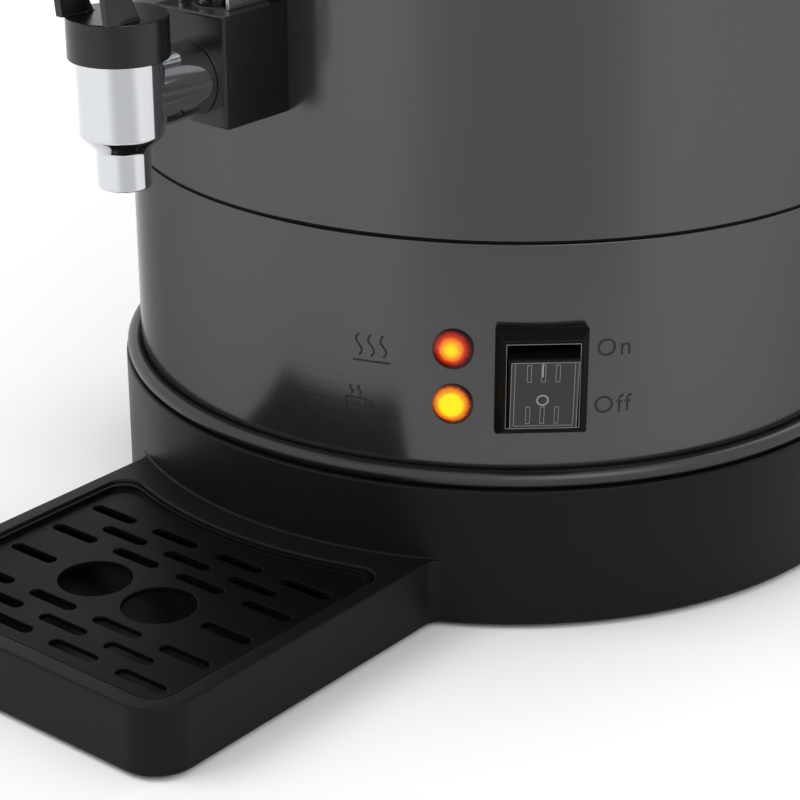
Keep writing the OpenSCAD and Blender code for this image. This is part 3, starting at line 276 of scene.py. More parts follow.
@dataclass(frozen=True)
class SoftRubber(Finish):
    """Rubber, silicone, ink or unglazed ceramic with a dusty bloom."""

    bloom: str = "3a3a3a"
    cloud_mm: float = 6.0
    depth_mm: float = 0.03

    def detail(self, tree: NodeTree, place: NodeSocket) -> Sockets:
        """Adds the bloom and a fine bump."""
        cloud = add_node(tree, "TexNoise", {"Scale": per_mm(self.cloud_mm), "Detail": 4.0},
                         {"Vector": place}).outputs["Fac"]
        tint = add_node(tree, "Mix",
                        {"data_type": "RGBA", 6: linear(self.colour), 7: linear(self.bloom)},
                        {0: cloud})
        bump = add_node(tree, "Bump", {"Strength": 0.3, "Distance": self.depth_mm * MM},
                        {"Height": cloud})
        return {"Base Color": tint.outputs[2], "Normal": bump.outputs["Normal"]}


@dataclass(frozen=True)
class ClearGlass(Finish):
    """Drawn borosilicate tube, clear, with a faint tint along its walls."""

    line_mm: float = 3.0
    line_depth_mm: float = 0.02
    stretch: float = 0.02       # the draw lines' scale along their own length

    def constants(self) -> dict[str, Any]:
        """Makes the finish clear."""
        return super().constants() | {"Transmission Weight": 1.0}

    def detail(self, tree: NodeTree, place: NodeSocket) -> Sockets:
        """Adds the faint draw lines of the tube."""
        drawn = add_node(tree, "Mapping", {"Scale": (1, 1, self.stretch)}, {"Vector": place})
        lines = add_node(tree, "TexNoise", {"Scale": per_mm(self.line_mm)},
                         {"Vector": drawn.outputs["Vector"]})
        bump = add_node(tree, "Bump", {"Strength": 0.1, "Distance": self.line_depth_mm * MM},
                        {"Height": lines.outputs["Fac"]})
        return {"Normal": bump.outputs["Normal"]}


@dataclass(frozen=True)
class GlowingLens(Finish):
    """Tinted acrylic lens with a lit bulb behind it: a hot middle that fades to a deep rim."""

    centre: Vector = field(default_factory=Vector)
    azimuth: float = 0.0
    radius: float = 5.4 * MM
    stops: Stops = ()
    glow: float = 1.0
    cell_mm: float = 1.1
    raggedness: float = 0.07

    def constants(self) -> dict[str, Any]:
        """Adds the strength of the glow."""
        return super().constants() | {"Emission Strength": self.glow}

    def detail(self, tree: NodeTree, place: NodeSocket) -> Sockets:
        """Adds the glow, which follows the distance from the bulb's axis."""
        moved = add_node(tree, "VectorMath", {"operation": "SUBTRACT", 1: tuple(self.centre)},
                         {0: place})
        turned = add_node(tree, "VectorRotate",
                          {"rotation_type": "Z_AXIS", "Angle": -self.azimuth},
                          {"Vector": moved.outputs["Vector"]})
        flat = add_node(tree, "VectorMath", {"operation": "MULTIPLY", 1: (1, 0, 1)},
                        {0: turned.outputs["Vector"]})
        away = add_node(tree, "VectorMath", {"operation": "LENGTH"}, {0: flat.outputs["Vector"]})
        share = add_node(tree, "Math", {"operation": "DIVIDE", 1: self.radius},
                         {0: away.outputs["Value"]})
        cells = add_node(tree, "TexVoronoi", {"Scale": per_mm(self.cell_mm)}, {"Vector": place})
        ragged = add_node(tree, "Math", {"operation": "MULTIPLY_ADD", 1: self.raggedness},
                          {0: cells.outputs["Distance"], 2: share.outputs["Value"]})
        glow = add_node(tree, "ValToRGB", {}, {"Fac": ragged.outputs["Value"]}, self.stops)
        return {"Emission Color": glow.outputs["Color"]}


@dataclass(frozen=True)
class BraidedSleeve(Finish):
    """Wire in a woven glass-fibre sleeve, as hot appliances have."""

    weave_mm: float = 1.2
    weave_depth_mm: float = 0.1

    def detail(self, tree: NodeTree, place: NodeSocket) -> Sockets:
        """Adds the weave."""
        weave = add_node(tree, "TexChecker", {"Scale": per_mm(self.weave_mm)}, {"Vector": place})
        bump = add_node(tree, "Bump", {"Strength": 0.4, "Distance": self.weave_depth_mm * MM},
                        {"Height": weave.outputs["Fac"]})
        return {"Normal": bump.outputs["Normal"]}


@dataclass(frozen=True)
class SweepPaper(Finish):
    """White paper sweep. It shows plain white far off, and one sector shows grey only in what
    steel mirrors: painted shade in the reflections.
    """

    fade_from: float = 0.7              # distances are from the urn's axis
    fade_to: float = 1.8
    sector_deg: float = 42.0            # azimuth of the sector's middle, from the tap
    sector_inner_deg: float = 10.0      # it is full this far to either side
    sector_outer_deg: float = 38.0      # and gone from here on
    sector_from: float = 0.24
    sector_to: float = 0.46
    sector_least: float = 0.3           # what is left of it nearer than sector_from
    # painted shade, seen only where steel mirrors the floor
    mirrored_shade_tint: str = "d2d2d2"

    def constants(self) -> dict[str, Any]:
        """Takes the gloss away."""
        return super().constants() | {"Specular IOR Level": 0.0}

    def detail(self, tree: NodeTree, place: NodeSocket) -> Sockets:
        """Adds the fade, which only the camera sees, and the sector of painted shade, which is
        only mirrored.
        """
        away = add_node(tree, "VectorMath", {"operation": "LENGTH"}, {0: place}).outputs["Value"]
        path = add_node(tree, "LightPath")
        self.whiten(tree, away, path.outputs["Is Camera Ray"])
        return {"Base Color": self.mirror_shade(tree, place, away, path.outputs["Is Glossy Ray"])}

    def whiten(self, tree: NodeTree, away: NodeSocket, seen: NodeSocket) -> None:
        """Lets the paper fade to plain white, far from the urn and its shadow.

        Args:
            tree: The material's node tree.
            away: Distance from the urn's axis.
            seen: 1 for what the camera sees.
        """
        far = add_node(tree, "MapRange",
                       {"From Min": self.fade_from, "From Max": self.fade_to}, {"Value": away})
        share = add_node(tree, "Math", {"operation": "MULTIPLY"},
                         {0: far.outputs["Result"], 1: seen})
        white = add_node(tree, "Emission", {"Color": linear(self.colour)})
        both = add_node(tree, "MixShader", {},
                        {0: share.outputs["Value"],
                         1: tree.nodes["Principled BSDF"].outputs["BSDF"],
                         2: white.outputs["Emission"]})
        tree.links.new(both.outputs["Shader"], tree.nodes["Material Output"].inputs["Surface"])

    def mirror_shade(self, tree: NodeTree, place: NodeSocket, away: NodeSocket,
               mirrored: NodeSocket) -> NodeSocket:
        """Paints shade into a soft sector of the paper, which only polished steel mirrors.

        Args:
            tree: The material's node tree.
            place: The floor's own coordinates.
            away: Distance from the urn's axis.
            mirrored: 1 for what a polished surface mirrors.

        Returns:
            The paper's colour, with the painted shade in what steel mirrors.
        """
        turn = math.radians(self.sector_deg)
        ray = add_node(tree, "VectorMath", {"operation": "NORMALIZE"}, {0: place})
        near = add_node(tree, "VectorMath",
                        {"operation": "DOT_PRODUCT", 1: (math.sin(turn), -math.cos(turn), 0)},
                        {0: ray.outputs["Vector"]})
        soft = add_node(tree, "MapRange",
                        {"interpolation_type": "SMOOTHSTEP",
                         "From Min": math.cos(math.radians(self.sector_outer_deg)),
                         "From Max": math.cos(math.radians(self.sector_inner_deg))},
                        {"Value": near.outputs["Value"]})
        grown = add_node(tree, "MapRange",
                         {"From Min": self.sector_from, "From Max": self.sector_to,
                          "To Min": self.sector_least}, {"Value": away})
        shape = add_node(tree, "Math", {"operation": "MULTIPLY"},
                         {0: soft.outputs["Result"], 1: grown.outputs["Result"]})
        share = add_node(tree, "Math", {"operation": "MULTIPLY"},
                         {0: shape.outputs["Value"], 1: mirrored})
        return add_node(tree, "Mix",
                        {"data_type": "RGBA", 6: linear(self.colour),
                         7: linear(self.mirrored_shade_tint)}, {0: share.outputs["Value"]}).outputs[2]


# ABS, spark-eroded: deep black with a soft, low sheen
ABS_BLACK = MouldedPlastic("abs_moulded_black", "0e0e0f", 0.42, ior=1.22, worn="131314")
# The same ABS off a smoother tool, which leaves it darker: grid and seam ring
ABS_SMOOTH = MouldedPlastic("abs_moulded_smooth", "09090a", 0.4, ior=1.15, worn="0c0c0d")
# Phenolic, compression moulded: black, half gloss and hard
PHENOLIC = MouldedPlastic("phenolic_moulded_black", "0d0d0e", 0.28, ior=1.45, worn="121212",
                          grit_mm=1.5, grit_depth_mm=0.01)
# Nylon, moulded: the switch's frame, deep black with a dull sheen
NYLON_BLACK = MouldedPlastic("nylon_moulded_black", "050505", 0.4, ior=1.2, worn="070707",
                             grit_mm=2.0, grit_depth_mm=0.004, spread=0.03)
# Polycarbonate, smoke grey and half gloss: the rocker's face plate. The body behind it is black
# nylon, and its being so much darker than the face also stands in for the shade on the rocker's
# end walls: painted shade
POLYCARBONATE = MouldedPlastic("polycarbonate_smoke_grey", "2c2c2d", 0.32, ior=1.35,
                               worn="303031", grit_mm=2.0, grit_depth_mm=0.004, spread=0.03)
# Pale grey on the rocker's edge lines, its rib rims and the bezel's lip: painted highlights where
# light runs along those edges
HIGHLIGHT_EDGE = MouldedPlastic("polycarbonate_painted_highlight", "707072", 0.2, ior=1.45,
                               worn="78787a", grit_mm=2.0, grit_depth_mm=0.002, spread=0.02)
# Stainless sheet under a dark translucent lacquer, polished: grey, deep and mirror-like
TINTED_STEEL = RolledSteel("stainless_tinted_polished", "545455", 0.15, metallic=0.86,
                           edge="b2b2b2")
# The same sheet rolled to a bead: the rolling leaves it duller
TINTED_BEAD = RolledSteel("stainless_tinted_rolled", "424243", 0.34, metallic=0.9)
# The same lacquered sheet, spun over a former: its lines run in rings
TINTED_SPUN = RolledSteel("stainless_tinted_spun", "525253", 0.18, grain=Grain.CONCENTRIC)
# Stainless sheet, deep drawn: bright, with a satin bloom
STAINLESS = RolledSteel("stainless_deep_drawn", "c2c3c5", 0.26, spread=0.05)
# Stainless strip, rolled lengthwise: the gauge's channel
STAINLESS_STRIP = RolledSteel("stainless_rolled_strip", "bcbdbf", 0.24, grain=Grain.UPRIGHT)
# Zinc-plated mild steel: bluish and a little dull
ZINC_PLATE = CastMetal("steel_zinc_plated", "a9adb3", 0.34, grain_mm=2.5, depth_mm=0.02)
# Brass die casting under polished chrome
CHROME = RolledSteel("brass_chrome_plated", "cfd1d4", 0.07, grain=Grain.NONE, line_mm=3.0,
                     wave_mm=18.0, wave_depth_mm=0.02, spread=0.02)
# Brass strip, stamped
BRASS = CastMetal("brass_stamped", "c9a45c", 0.3, grain_mm=3.0, depth_mm=0.02)
# Aluminium, sand cast: pale and matt
ALUMINIUM = CastMetal("aluminium_cast", "a7a8aa", 0.5)
# Nitrile rubber, moulded: matt black with a grey bloom
RUBBER = SoftRubber("nitrile_rubber_black", "1b1b1b", 0.7)
# Silicone, moulded: brick red and waxy
SILICONE = SoftRubber("silicone_brick_red", "8a2d1f", 0.5, ior=1.41, bloom="96402f")
# Borosilicate glass tube
GLASS = ClearGlass("borosilicate_glass", "f2f7f6", 0.02, ior=1.47)
# Steatite ceramic, fired and unglazed: cream, dry and chalky
STEATITE = SoftRubber("steatite_fired", "d8d2c4", 0.75, ior=1.6, bloom="cdc6b6")
# Polypropylene, moulded in white
POLYPROPYLENE = MouldedPlastic("polypropylene_white", "dcdcda", 0.4, worn="d2d2cf")
# Wire insulation
BRAID = BraidedSleeve("glass_fibre_braid_red", "7d2a22", 0.8)
# Dark fill in the floor of the engraved marks: painted shade, where the engravings fall in shadow
ENGRAVING_SHADE = SoftRubber("engraving_painted_shade", "161616", 0.6, bloom="1e1e1e")
# Pad-printing ink, white and dry
INK_WHITE = SoftRubber("printing_ink_white", "9c9c9c", 0.6, bloom="949494")
# Paper sweep under the urn, white and matt, with a sector of painted shade in its reflections
PAPER = SweepPaper("paper_sweep_white", "ffffff", 0.9)


# ---------------------------------------------------------------- mesh tools

def soften(bm: BMesh, width: float, segments: int = 3, min_deg: float = 40.0,
           keep: EdgeTest | None = None) -> BMesh:
    """Rounds the sharp edges of a mesh.

    Args:
        bm: The mesh.
        width: Width of the rounding.
        segments: Faces across the rounding.
        min_deg: Least angle between two faces at which their edge is rounded.
        keep: Test that an edge must pass as well, where there is one.

    Returns:
        The same mesh.
    """
    sharp = [edge for edge in bm.edges if len(edge.link_faces) == 2
             and math.degrees(edge.calc_face_angle(0)) > min_deg
             and (keep is None or keep(edge))]
    bmesh.ops.bevel(bm, geom=sharp, offset=width, offset_type="OFFSET", segments=segments,
                    profile=0.5, affect="EDGES", clamp_overlap=False, material=-1)
    return bm


def cad_copy(node: str, flat_deg: float = 0.6) -> BMesh:
    """Copies a node's solid into a merged mesh.

    Args:
        node: Name of the node.
        flat_deg: Triangles that lie within this angle of each other are joined in pairs.

    Returns:
        The copy. The node itself is left as it is.
    """
    bm = bmesh.new()
    bm.from_mesh(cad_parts[node].data)
    bmesh.ops.remove_doubles(bm, verts=bm.verts, dist=CAD_MERGE)
    bmesh.ops.join_triangles(bm, faces=bm.faces, angle_face_threshold=math.radians(flat_deg),
                             angle_shape_threshold=math.pi)
    return bm


def turned(profile: Sequence[tuple[float, float]], steps: int = ROUND_STEPS) -> BMesh:
    """Spins a closed outline round the Z axis.

    Args:
        profile: Radius and height of each corner, in order round the outline.
        steps: Steps of the full turn.

    Returns:
        The turned mesh, with its normals outwards.
    """
    bm = bmesh.new()
    corners = [bm.verts.new((radius, 0, height)) for radius, height in profile]
    edges = [bm.edges.new((a, b)) for a, b in zip(corners, corners[1:] + corners[:1])]
    bmesh.ops.spin(bm, geom=corners + edges, cent=(0, 0, 0), axis=(0, 0, 1),
                   angle=math.tau, steps=steps, use_merge=True)
    bmesh.ops.remove_doubles(bm, verts=bm.verts, dist=MERGE)
    bmesh.ops.dissolve_degenerate(bm, edges=bm.edges, dist=MERGE)
    bmesh.ops.recalc_face_normals(bm, faces=bm.faces)
    return bm


def arc(centre: tuple[float, float], radius: float, start_deg: float, end_deg: float,
        steps: int = 12) -> list[tuple[float, float]]:
    """Works out points on an arc of an outline.

    Args:
        centre: Its centre.
        radius: Its radius.
        start_deg: Where it starts, anticlockwise from the first axis.
        end_deg: Where it ends.
        steps: Steps along it.

    Returns:
        The points, both ends included.
    """
    turns = [math.radians(start_deg + (end_deg - start_deg) * i / steps)
             for i in range(steps + 1)]
    return [(centre[0] + radius * math.cos(a), centre[1] + radius * math.sin(a)) for a in turns]


def bar(size: Sequence[float], centre: Sequence[float]) -> BMesh:
    """Makes a block.

    Args:
        size: Its width, depth and height.
        centre: Its centre.

    Returns:
        The block.
    """
    bm = bmesh.new()
    bmesh.ops.create_cube(bm, size=1.0, matrix=Matrix.Translation(centre)
                          @ Matrix.Diagonal((*size, 1.0)))
    return bm


def as_mesh(bm: BMesh, name: str) -> Mesh:
    """Turns a bmesh into a mesh.

    Args:
        bm: The bmesh. It is freed.
        name: The mesh's name.

    Returns:
        The mesh.
    """
    mesh = bpy.data.meshes.new(name)
    bm.to_mesh(mesh)
    bm.free()
    return mesh


def joined(parts: Iterable[BMesh]) -> BMesh:
    """Puts several meshes into one.

    Args:
        parts: The meshes. They are freed.

    Returns:
        The new mesh.
    """
    whole = bmesh.new()
    for part in parts:
        mesh = as_mesh(part, "part")
        whole.from_mesh(mesh)
        bpy.data.meshes.remove(mesh)
    return whole


def placed(bm: BMesh, matrix: Matrix) -> BMesh:
    """Moves a mesh by a matrix."""
    bmesh.ops.transform(bm, matrix=matrix, verts=bm.verts)
    return bm


def shown(name: str, data: ID) -> Object:
    """Makes an object and links it to the scene.

    Args:
        name: Its name.
        data: Its mesh, curve, light or camera.

    Returns:
        The object.
    """
    thing = bpy.data.objects.new(name, data)
    bpy.context.scene.collection.objects.link(thing)
    return thing


def facing(azimuth: float, height: float, radius: float = 0.0) -> Matrix:
    """Returns the matrix that takes a piece drawn at the front to a place on the urn's side."""
    return Matrix.Rotation(azimuth, 4, "Z") @ Matrix.Translation((0, -radius, height))


def wrapped(bm: BMesh, radius: float, azimuth: float, height: float) -> BMesh:
    """Bends a mesh drawn flat in the XZ plane round the body.

    Args:
        bm: The mesh, with -Y as its depth outwards.
        radius: Radius of the body.
        azimuth: Where its X = 0 goes, in radians from the tap.
        height: Where its Z = 0 goes.

    Returns:
        The same mesh.
    """
    for vert in bm.verts:
        turn = azimuth + vert.co.x / radius
        out = radius - vert.co.y
        vert.co = Vector((out * math.sin(turn), -out * math.cos(turn), height + vert.co.z))
    return bm


def cut(bm: BMesh, cutter: BMesh) -> BMesh:
    """Takes one mesh out of another.

    Args:
        bm: The mesh that is cut.
        cutter: The closed mesh that is taken out. Both are freed.

    Returns:
        A new mesh.
    """
    body = shown("cut_body", as_mesh(bm, "cut_body"))
    tool = shown("cut_tool", as_mesh(cutter, "cut_tool"))
    change = body.modifiers.new("cut", "BOOLEAN")
    change.operation = "DIFFERENCE"
    change.solver = "EXACT"
    change.object = tool
    bpy.context.view_layer.update()
    done = body.evaluated_get(bpy.context.evaluated_depsgraph_get())
    result = bmesh.new()
    result.from_mesh(done.data)
    for thing in (body, tool):
        mesh = thing.data
        bpy.data.objects.remove(thing)
        bpy.data.meshes.remove(mesh)
    return result


def add_piece(name: str, bm: BMesh, finish: Finish, body: str = "root",
              replaces: Sequence[str] = (), smooth_deg: float = SMOOTH_DEG) -> Object:
    """Makes a finished piece of a mesh.

    Args:
        name: Name of the piece.
        bm: Its mesh, in the frame. It is freed.
        finish: Its finish.
        body: Body that it moves with.
        replaces: Nodes that it stands for.
        smooth_deg: Edges flatter than this are shaded smooth.

    Returns:
        The new object.
    """
    triangles = sum(len(face.verts) - 2 for face in bm.faces)
    mesh = as_mesh(bm, name)
    mesh.shade_smooth()
    mesh.set_sharp_from_angle(angle=math.radians(smooth_deg))
    mesh.materials.append(finish.material())
    piece = shown(name, mesh)
    shading = piece.modifiers.new("face_weighted_normals", "WEIGHTED_NORMAL")
    shading.keep_sharp = True
    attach(piece, body)
    if replaces:
        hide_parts(*replaces)
    LOG.info("%s: %d triangles, %s, rides on %s", name, triangles, finish.name, body)
    return piece


def dress(node: str, finish: Finish) -> None:
    """Gives a finish to a node that is shown as it is.

    Args:
        node: Name of the node.
        finish: Its finish.
    """
    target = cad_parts[node]
    target.data.materials.clear()
    target.data.materials.append(finish.material())
    LOG.info("%s: CAD solid in %s", node, finish.name)


# ---------------------------------------------------------------- places read from the frame

@dataclass(frozen=True)
class Ring:
    """Outer radius, foot and top of a round node."""

    radius: float
    low: float
    high: float

    @classmethod
    def of(cls, node: str) -> "Ring":
        """Measures a node that is centred on the urn's axis."""
        low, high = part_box(node)
        return cls(high[0], low[2], high[2])


def middle(node: str) -> Vector:
    """Returns the centre of a node's box."""
    low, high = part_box(node)
    return (Vector(low) + Vector(high)) / 2


def bearing(node: str) -> float:
    """Returns a node's azimuth from the tap, in radians, from the mean of its corners."""
    total = sum((vert.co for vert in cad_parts[node].data.vertices), Vector((0, 0, 0)))
    return math.atan2(total.x, -total.y)


def clear_of_jacket(gap: float) -> EdgeTest:
    """Returns a test for edges that stand more than that gap outside the jacket."""
    reach = Ring.of("outer_jacket").radius + gap
    return lambda edge: all(vert.co.xy.length > reach for vert in edge.verts)


# ---------------------------------------------------------------- studio

@dataclass(frozen=True)
class SoftLight:
    """Square soft light."""

    name: str
    place: tuple[float, float, float]
    size: float
    watts: float
    mirrored: bool = True       # whether polished surfaces show it

    def hang(self, target: Vector) -> None:
        """Hangs the light in its place and turns it to a target.

        Args:
            target: The point that it looks at.
        """
        data = bpy.data.lights.new(self.name, "AREA")
        data.shape = "SQUARE"
        data.size = self.size
        data.energy = self.watts
        light = shown(self.name, data)
        light.location = self.place
        light.rotation_euler = (target - Vector(self.place)).to_track_quat("-Z", "Y").to_euler()
        light.visible_glossy = self.mirrored


@dataclass
class Studio:
    """Camera, floor and lights."""

    camera_place: tuple[float, float, float] = (0.4080, -0.5583, 0.3159)
    camera_yaw_deg: float = 38.86
    camera_dip_deg: float = 23.23
    lens_mm: float = 102.39
    sensor_mm: float = 36.0
    nearest: float = 0.01       # what the camera sees starts here
    floor_size: float = 14.0
    sky_level: float = 0.68     # of the world as light; it is seen and mirrored at full white
    target: tuple[float, float, float] = (0.0, 0.0, 0.2)
    lights: tuple[SoftLight, ...] = (
        SoftLight("key_light", (-1.1, -1.5, 2.1), 1.6, 28.0, mirrored=False),
        SoftLight("fill_light", (1.9, -0.9, 1.7), 1.4, 16.0),
        SoftLight("back_light", (0.3, 1.9, 1.9), 1.6, 14.0),
    )

    def build(self) -> None:
        """Builds the studio."""
        bpy.context.scene.view_settings.view_transform = "Standard"
        self.add_camera()
        self.add_floor()
        self.add_sky()
        for light in self.lights:
            light.hang(Vector(self.target))

    def add_camera(self) -> None:
        """Adds the camera, level, without shift."""
        data = bpy.data.cameras.new("camera")
        data.sensor_fit = "HORIZONTAL"
        data.sensor_width = self.sensor_mm
        data.lens = self.lens_mm
        data.clip_start = self.nearest
        camera = shown("camera", data)
        camera.location = self.camera_place
        camera.rotation_euler = (math.radians(90 - self.camera_dip_deg), 0,
                                 math.radians(self.camera_yaw_deg))
        bpy.context.scene.camera = camera

    def add_floor(self) -> None:
        """Adds the pale floor."""
        bm = bmesh.new()
        bmesh.ops.create_grid(bm, x_segments=2, y_segments=2, size=self.floor_size / 2)
        floor = shown("floor", as_mesh(bm, "floor"))
        floor.data.materials.append(PAPER.material())

    def add_sky(self) -> None:
        """Adds a world that is white to the camera and in reflections, and softer as light."""
        world = bpy.data.worlds.new("studio")
        world.use_nodes = True
        tree = world.node_tree
        back = tree.nodes["Background"]
        path = add_node(tree, "LightPath")
        seen = add_node(tree, "Math", {"operation": "MAXIMUM"},
                        {0: path.outputs["Is Camera Ray"], 1: path.outputs["Is Glossy Ray"]})
        clear = add_node(tree, "Math", {"operation": "MAXIMUM"},
                         {0: seen.outputs["Value"], 1: path.outputs["Is Transmission Ray"]})
        level = add_node(tree, "MapRange", {"To Min": self.sky_level},
                         {"Value": clear.outputs["Value"]})
        tree.links.new(level.outputs["Result"], back.inputs["Strength"])
        back.inputs["Color"].default_value = (1, 1, 1, 1)
        bpy.context.scene.world = world


# ---------------------------------------------------------------- sub-assemblies

@dataclass(frozen=True)
class Rounded:
    """A node whose piece is a copy of its solid with rounded edges, named NODE_skin."""

    node: str
    finish: Finish
    slot: str
    width: float
    body: str = "root"
    segments: int = 3
    min_deg: float = 40.0       # least angle between two faces at which their edge is rounded
    gap: float | None = None    # where set, only edges this far outside the jacket are rounded

    def add(self) -> None:
        """Adds the piece."""
        keep = None if self.gap is None else clear_of_jacket(self.gap)
        bm = soften(cad_copy(self.node), self.width, self.segments, self.min_deg, keep)
        add_piece(f"{self.node}_skin", bm, self.finish, self.body, [self.node])


# Finishes, each with the nodes that show in it
PlainNodes = tuple[tuple[Finish, tuple[str, ...]], ...]


@dataclass
class SubAssembly:
    """Pieces that go together: rounded nodes, nodes shown as they are, and drawn pieces."""

    rounded: tuple[Rounded, ...] = ()
    plain: PlainNodes = ()

    def build(self) -> None:
        """Adds the rounded nodes' pieces, dresses the plain nodes and draws the rest."""
        for piece in self.rounded:
            piece.add()
        for finish, nodes in self.plain:
            for node in nodes:
                dress(node, finish)
        self.draw()

    def draw(self) -> None:
        """Adds the pieces that are drawn anew, where the sub-assembly has any."""


@dataclass
class Base(SubAssembly):
    """Moulded base with its drip shelf, underside and feet."""

    rounded: tuple[Rounded, ...] = (
        Rounded("base_housing", ABS_BLACK, "base_plastic", 0.7 * MM),
        Rounded("bottom_cover", ABS_BLACK, "base_plastic", 0.25 * MM),
        Rounded("foot_ring", RUBBER, "black_rubber", 0.25 * MM),
        Rounded("shelf_feet", RUBBER, "black_rubber", 0.25 * MM),
        Rounded("cover_screws", ZINC_PLATE, "zinc", 0.1 * MM),
        Rounded("drip_pan", ABS_BLACK, "base_plastic", 0.25 * MM, "pan"),
        Rounded("drip_grid", ABS_SMOOTH, "base_plastic", 0.25 * MM, "grid"),
    )


@dataclass
class Shell(SubAssembly):
    """Bead, control panel, seam, jacket and top ring: the turned skins of the urn."""

    rounded: tuple[Rounded, ...] = (
        Rounded("top_ring", PHENOLIC, "black_plastic", 0.9 * MM, segments=4),
        Rounded("seam_ring", ABS_SMOOTH, "black_plastic", 0.1 * MM),
    )
    bead_steps: int = 32
    sleeve_gap: float = 0.2 * MM        # between the bead's sleeve and the sheet round it
    sleeve_wall: float = 2.0 * MM
    panel_hem: float = 0.25 * MM
    jacket_hem: float = 0.35 * MM
    flange_width: float = 8.0 * MM
    lap_width: float = 6.0 * MM
    lap_rise: float = 0.15 * MM
    lap_edge: float = 0.1 * MM
    engraving: float = 0.45 * MM
    shade_gap: float = 0.01 * MM          # between the painted shade fill and the floor of the engraving
    shade_level: float = 0.205 * MM       # how far the painted shade fill lies below the panel's face

    def draw(self) -> None:
        """Adds the bead, the panel and the jacket."""
        self.add_bead()
        self.add_panel()
        self.add_jacket()

    def add_bead(self) -> None:
        """Turns the round bead with the ledge and sleeve that carry the panel."""
        trim = Ring.of("trim_ring")
        panel = Ring.of("control_panel")
        bead_r = (panel.low - trim.low) / 2
        bead_c = trim.radius - bead_r
        ledge = Ring.of("outer_jacket").radius
        sleeve = ledge - SHEET - self.sleeve_gap
        inner = sleeve - self.sleeve_wall
        meets = math.degrees(math.acos((ledge - bead_c) / bead_r))
        outline = [(inner, trim.low)]
        outline += arc((bead_c, trim.low + bead_r), bead_r, -90, meets, self.bead_steps)
        outline += [(ledge, panel.low), (sleeve, panel.low), (sleeve, trim.high),
                    (inner, trim.high)]
        add_piece("bead_ring", turned(outline), TINTED_BEAD,
                  replaces=["trim_ring"])

    def add_panel(self) -> None:
        """Makes the control panel with its holes and engraved marks, and a dark fill in the
        engravings that is painted shade.
        """
        ring = Ring.of("control_panel")
        inner = ring.radius - SHEET
        outline = [(ring.radius, ring.low), (ring.radius, ring.high), (inner, ring.high),
                   (inner, ring.low)]
        legend = Legend(ring, self.engraving, self.engraving)
        bm = cut(soften(turned(outline), self.panel_hem), legend.cutters())
        add_piece("panel_sheet", bm, TINTED_STEEL, replaces=["control_panel"])
        # The dark fill laid in the engravings is painted shade.
        ink = Legend(ring, self.engraving - self.shade_gap, -self.shade_level)
        add_piece("panel_engraving_shade", joined(ink.marks()), ENGRAVING_SHADE)
        add_piece("panel_lap", self.lap(ring), TINTED_STEEL)

    def add_jacket(self) -> None:
        """Makes the jacket with the flange under the top ring."""
        ring = Ring.of("outer_jacket")
        inner = ring.radius - SHEET
        flange = inner - self.flange_width
        outline = [(ring.radius, ring.low), (ring.radius, ring.high), (flange, ring.high),
                   (flange, ring.high - SHEET), (inner, ring.high - SHEET), (inner, ring.low)]
        add_piece("jacket_sheet", soften(turned(outline), self.jacket_hem), TINTED_STEEL,
                  replaces=["outer_jacket"])
        below = Ring(ring.radius, ring.low, ring.high - self.flange_width)
        add_piece("jacket_lap", self.lap(below), TINTED_STEEL)

    def lap(self, ring: Ring) -> BMesh:
        """Makes the lapped edge of a sheet, which runs up the back.

        Args:
            ring: The stretch of sheet that it runs along.

        Returns:
            A thin strip, half sunk in the sheet.
        """
        height = ring.high - ring.low - 2 * self.panel_hem
        strip = soften(bar((self.lap_width, 2 * self.lap_rise, height), (0, 0, 0)),
                       self.lap_edge, segments=1)
        return wrapped(strip, ring.radius, math.pi, (ring.low + ring.high) / 2)


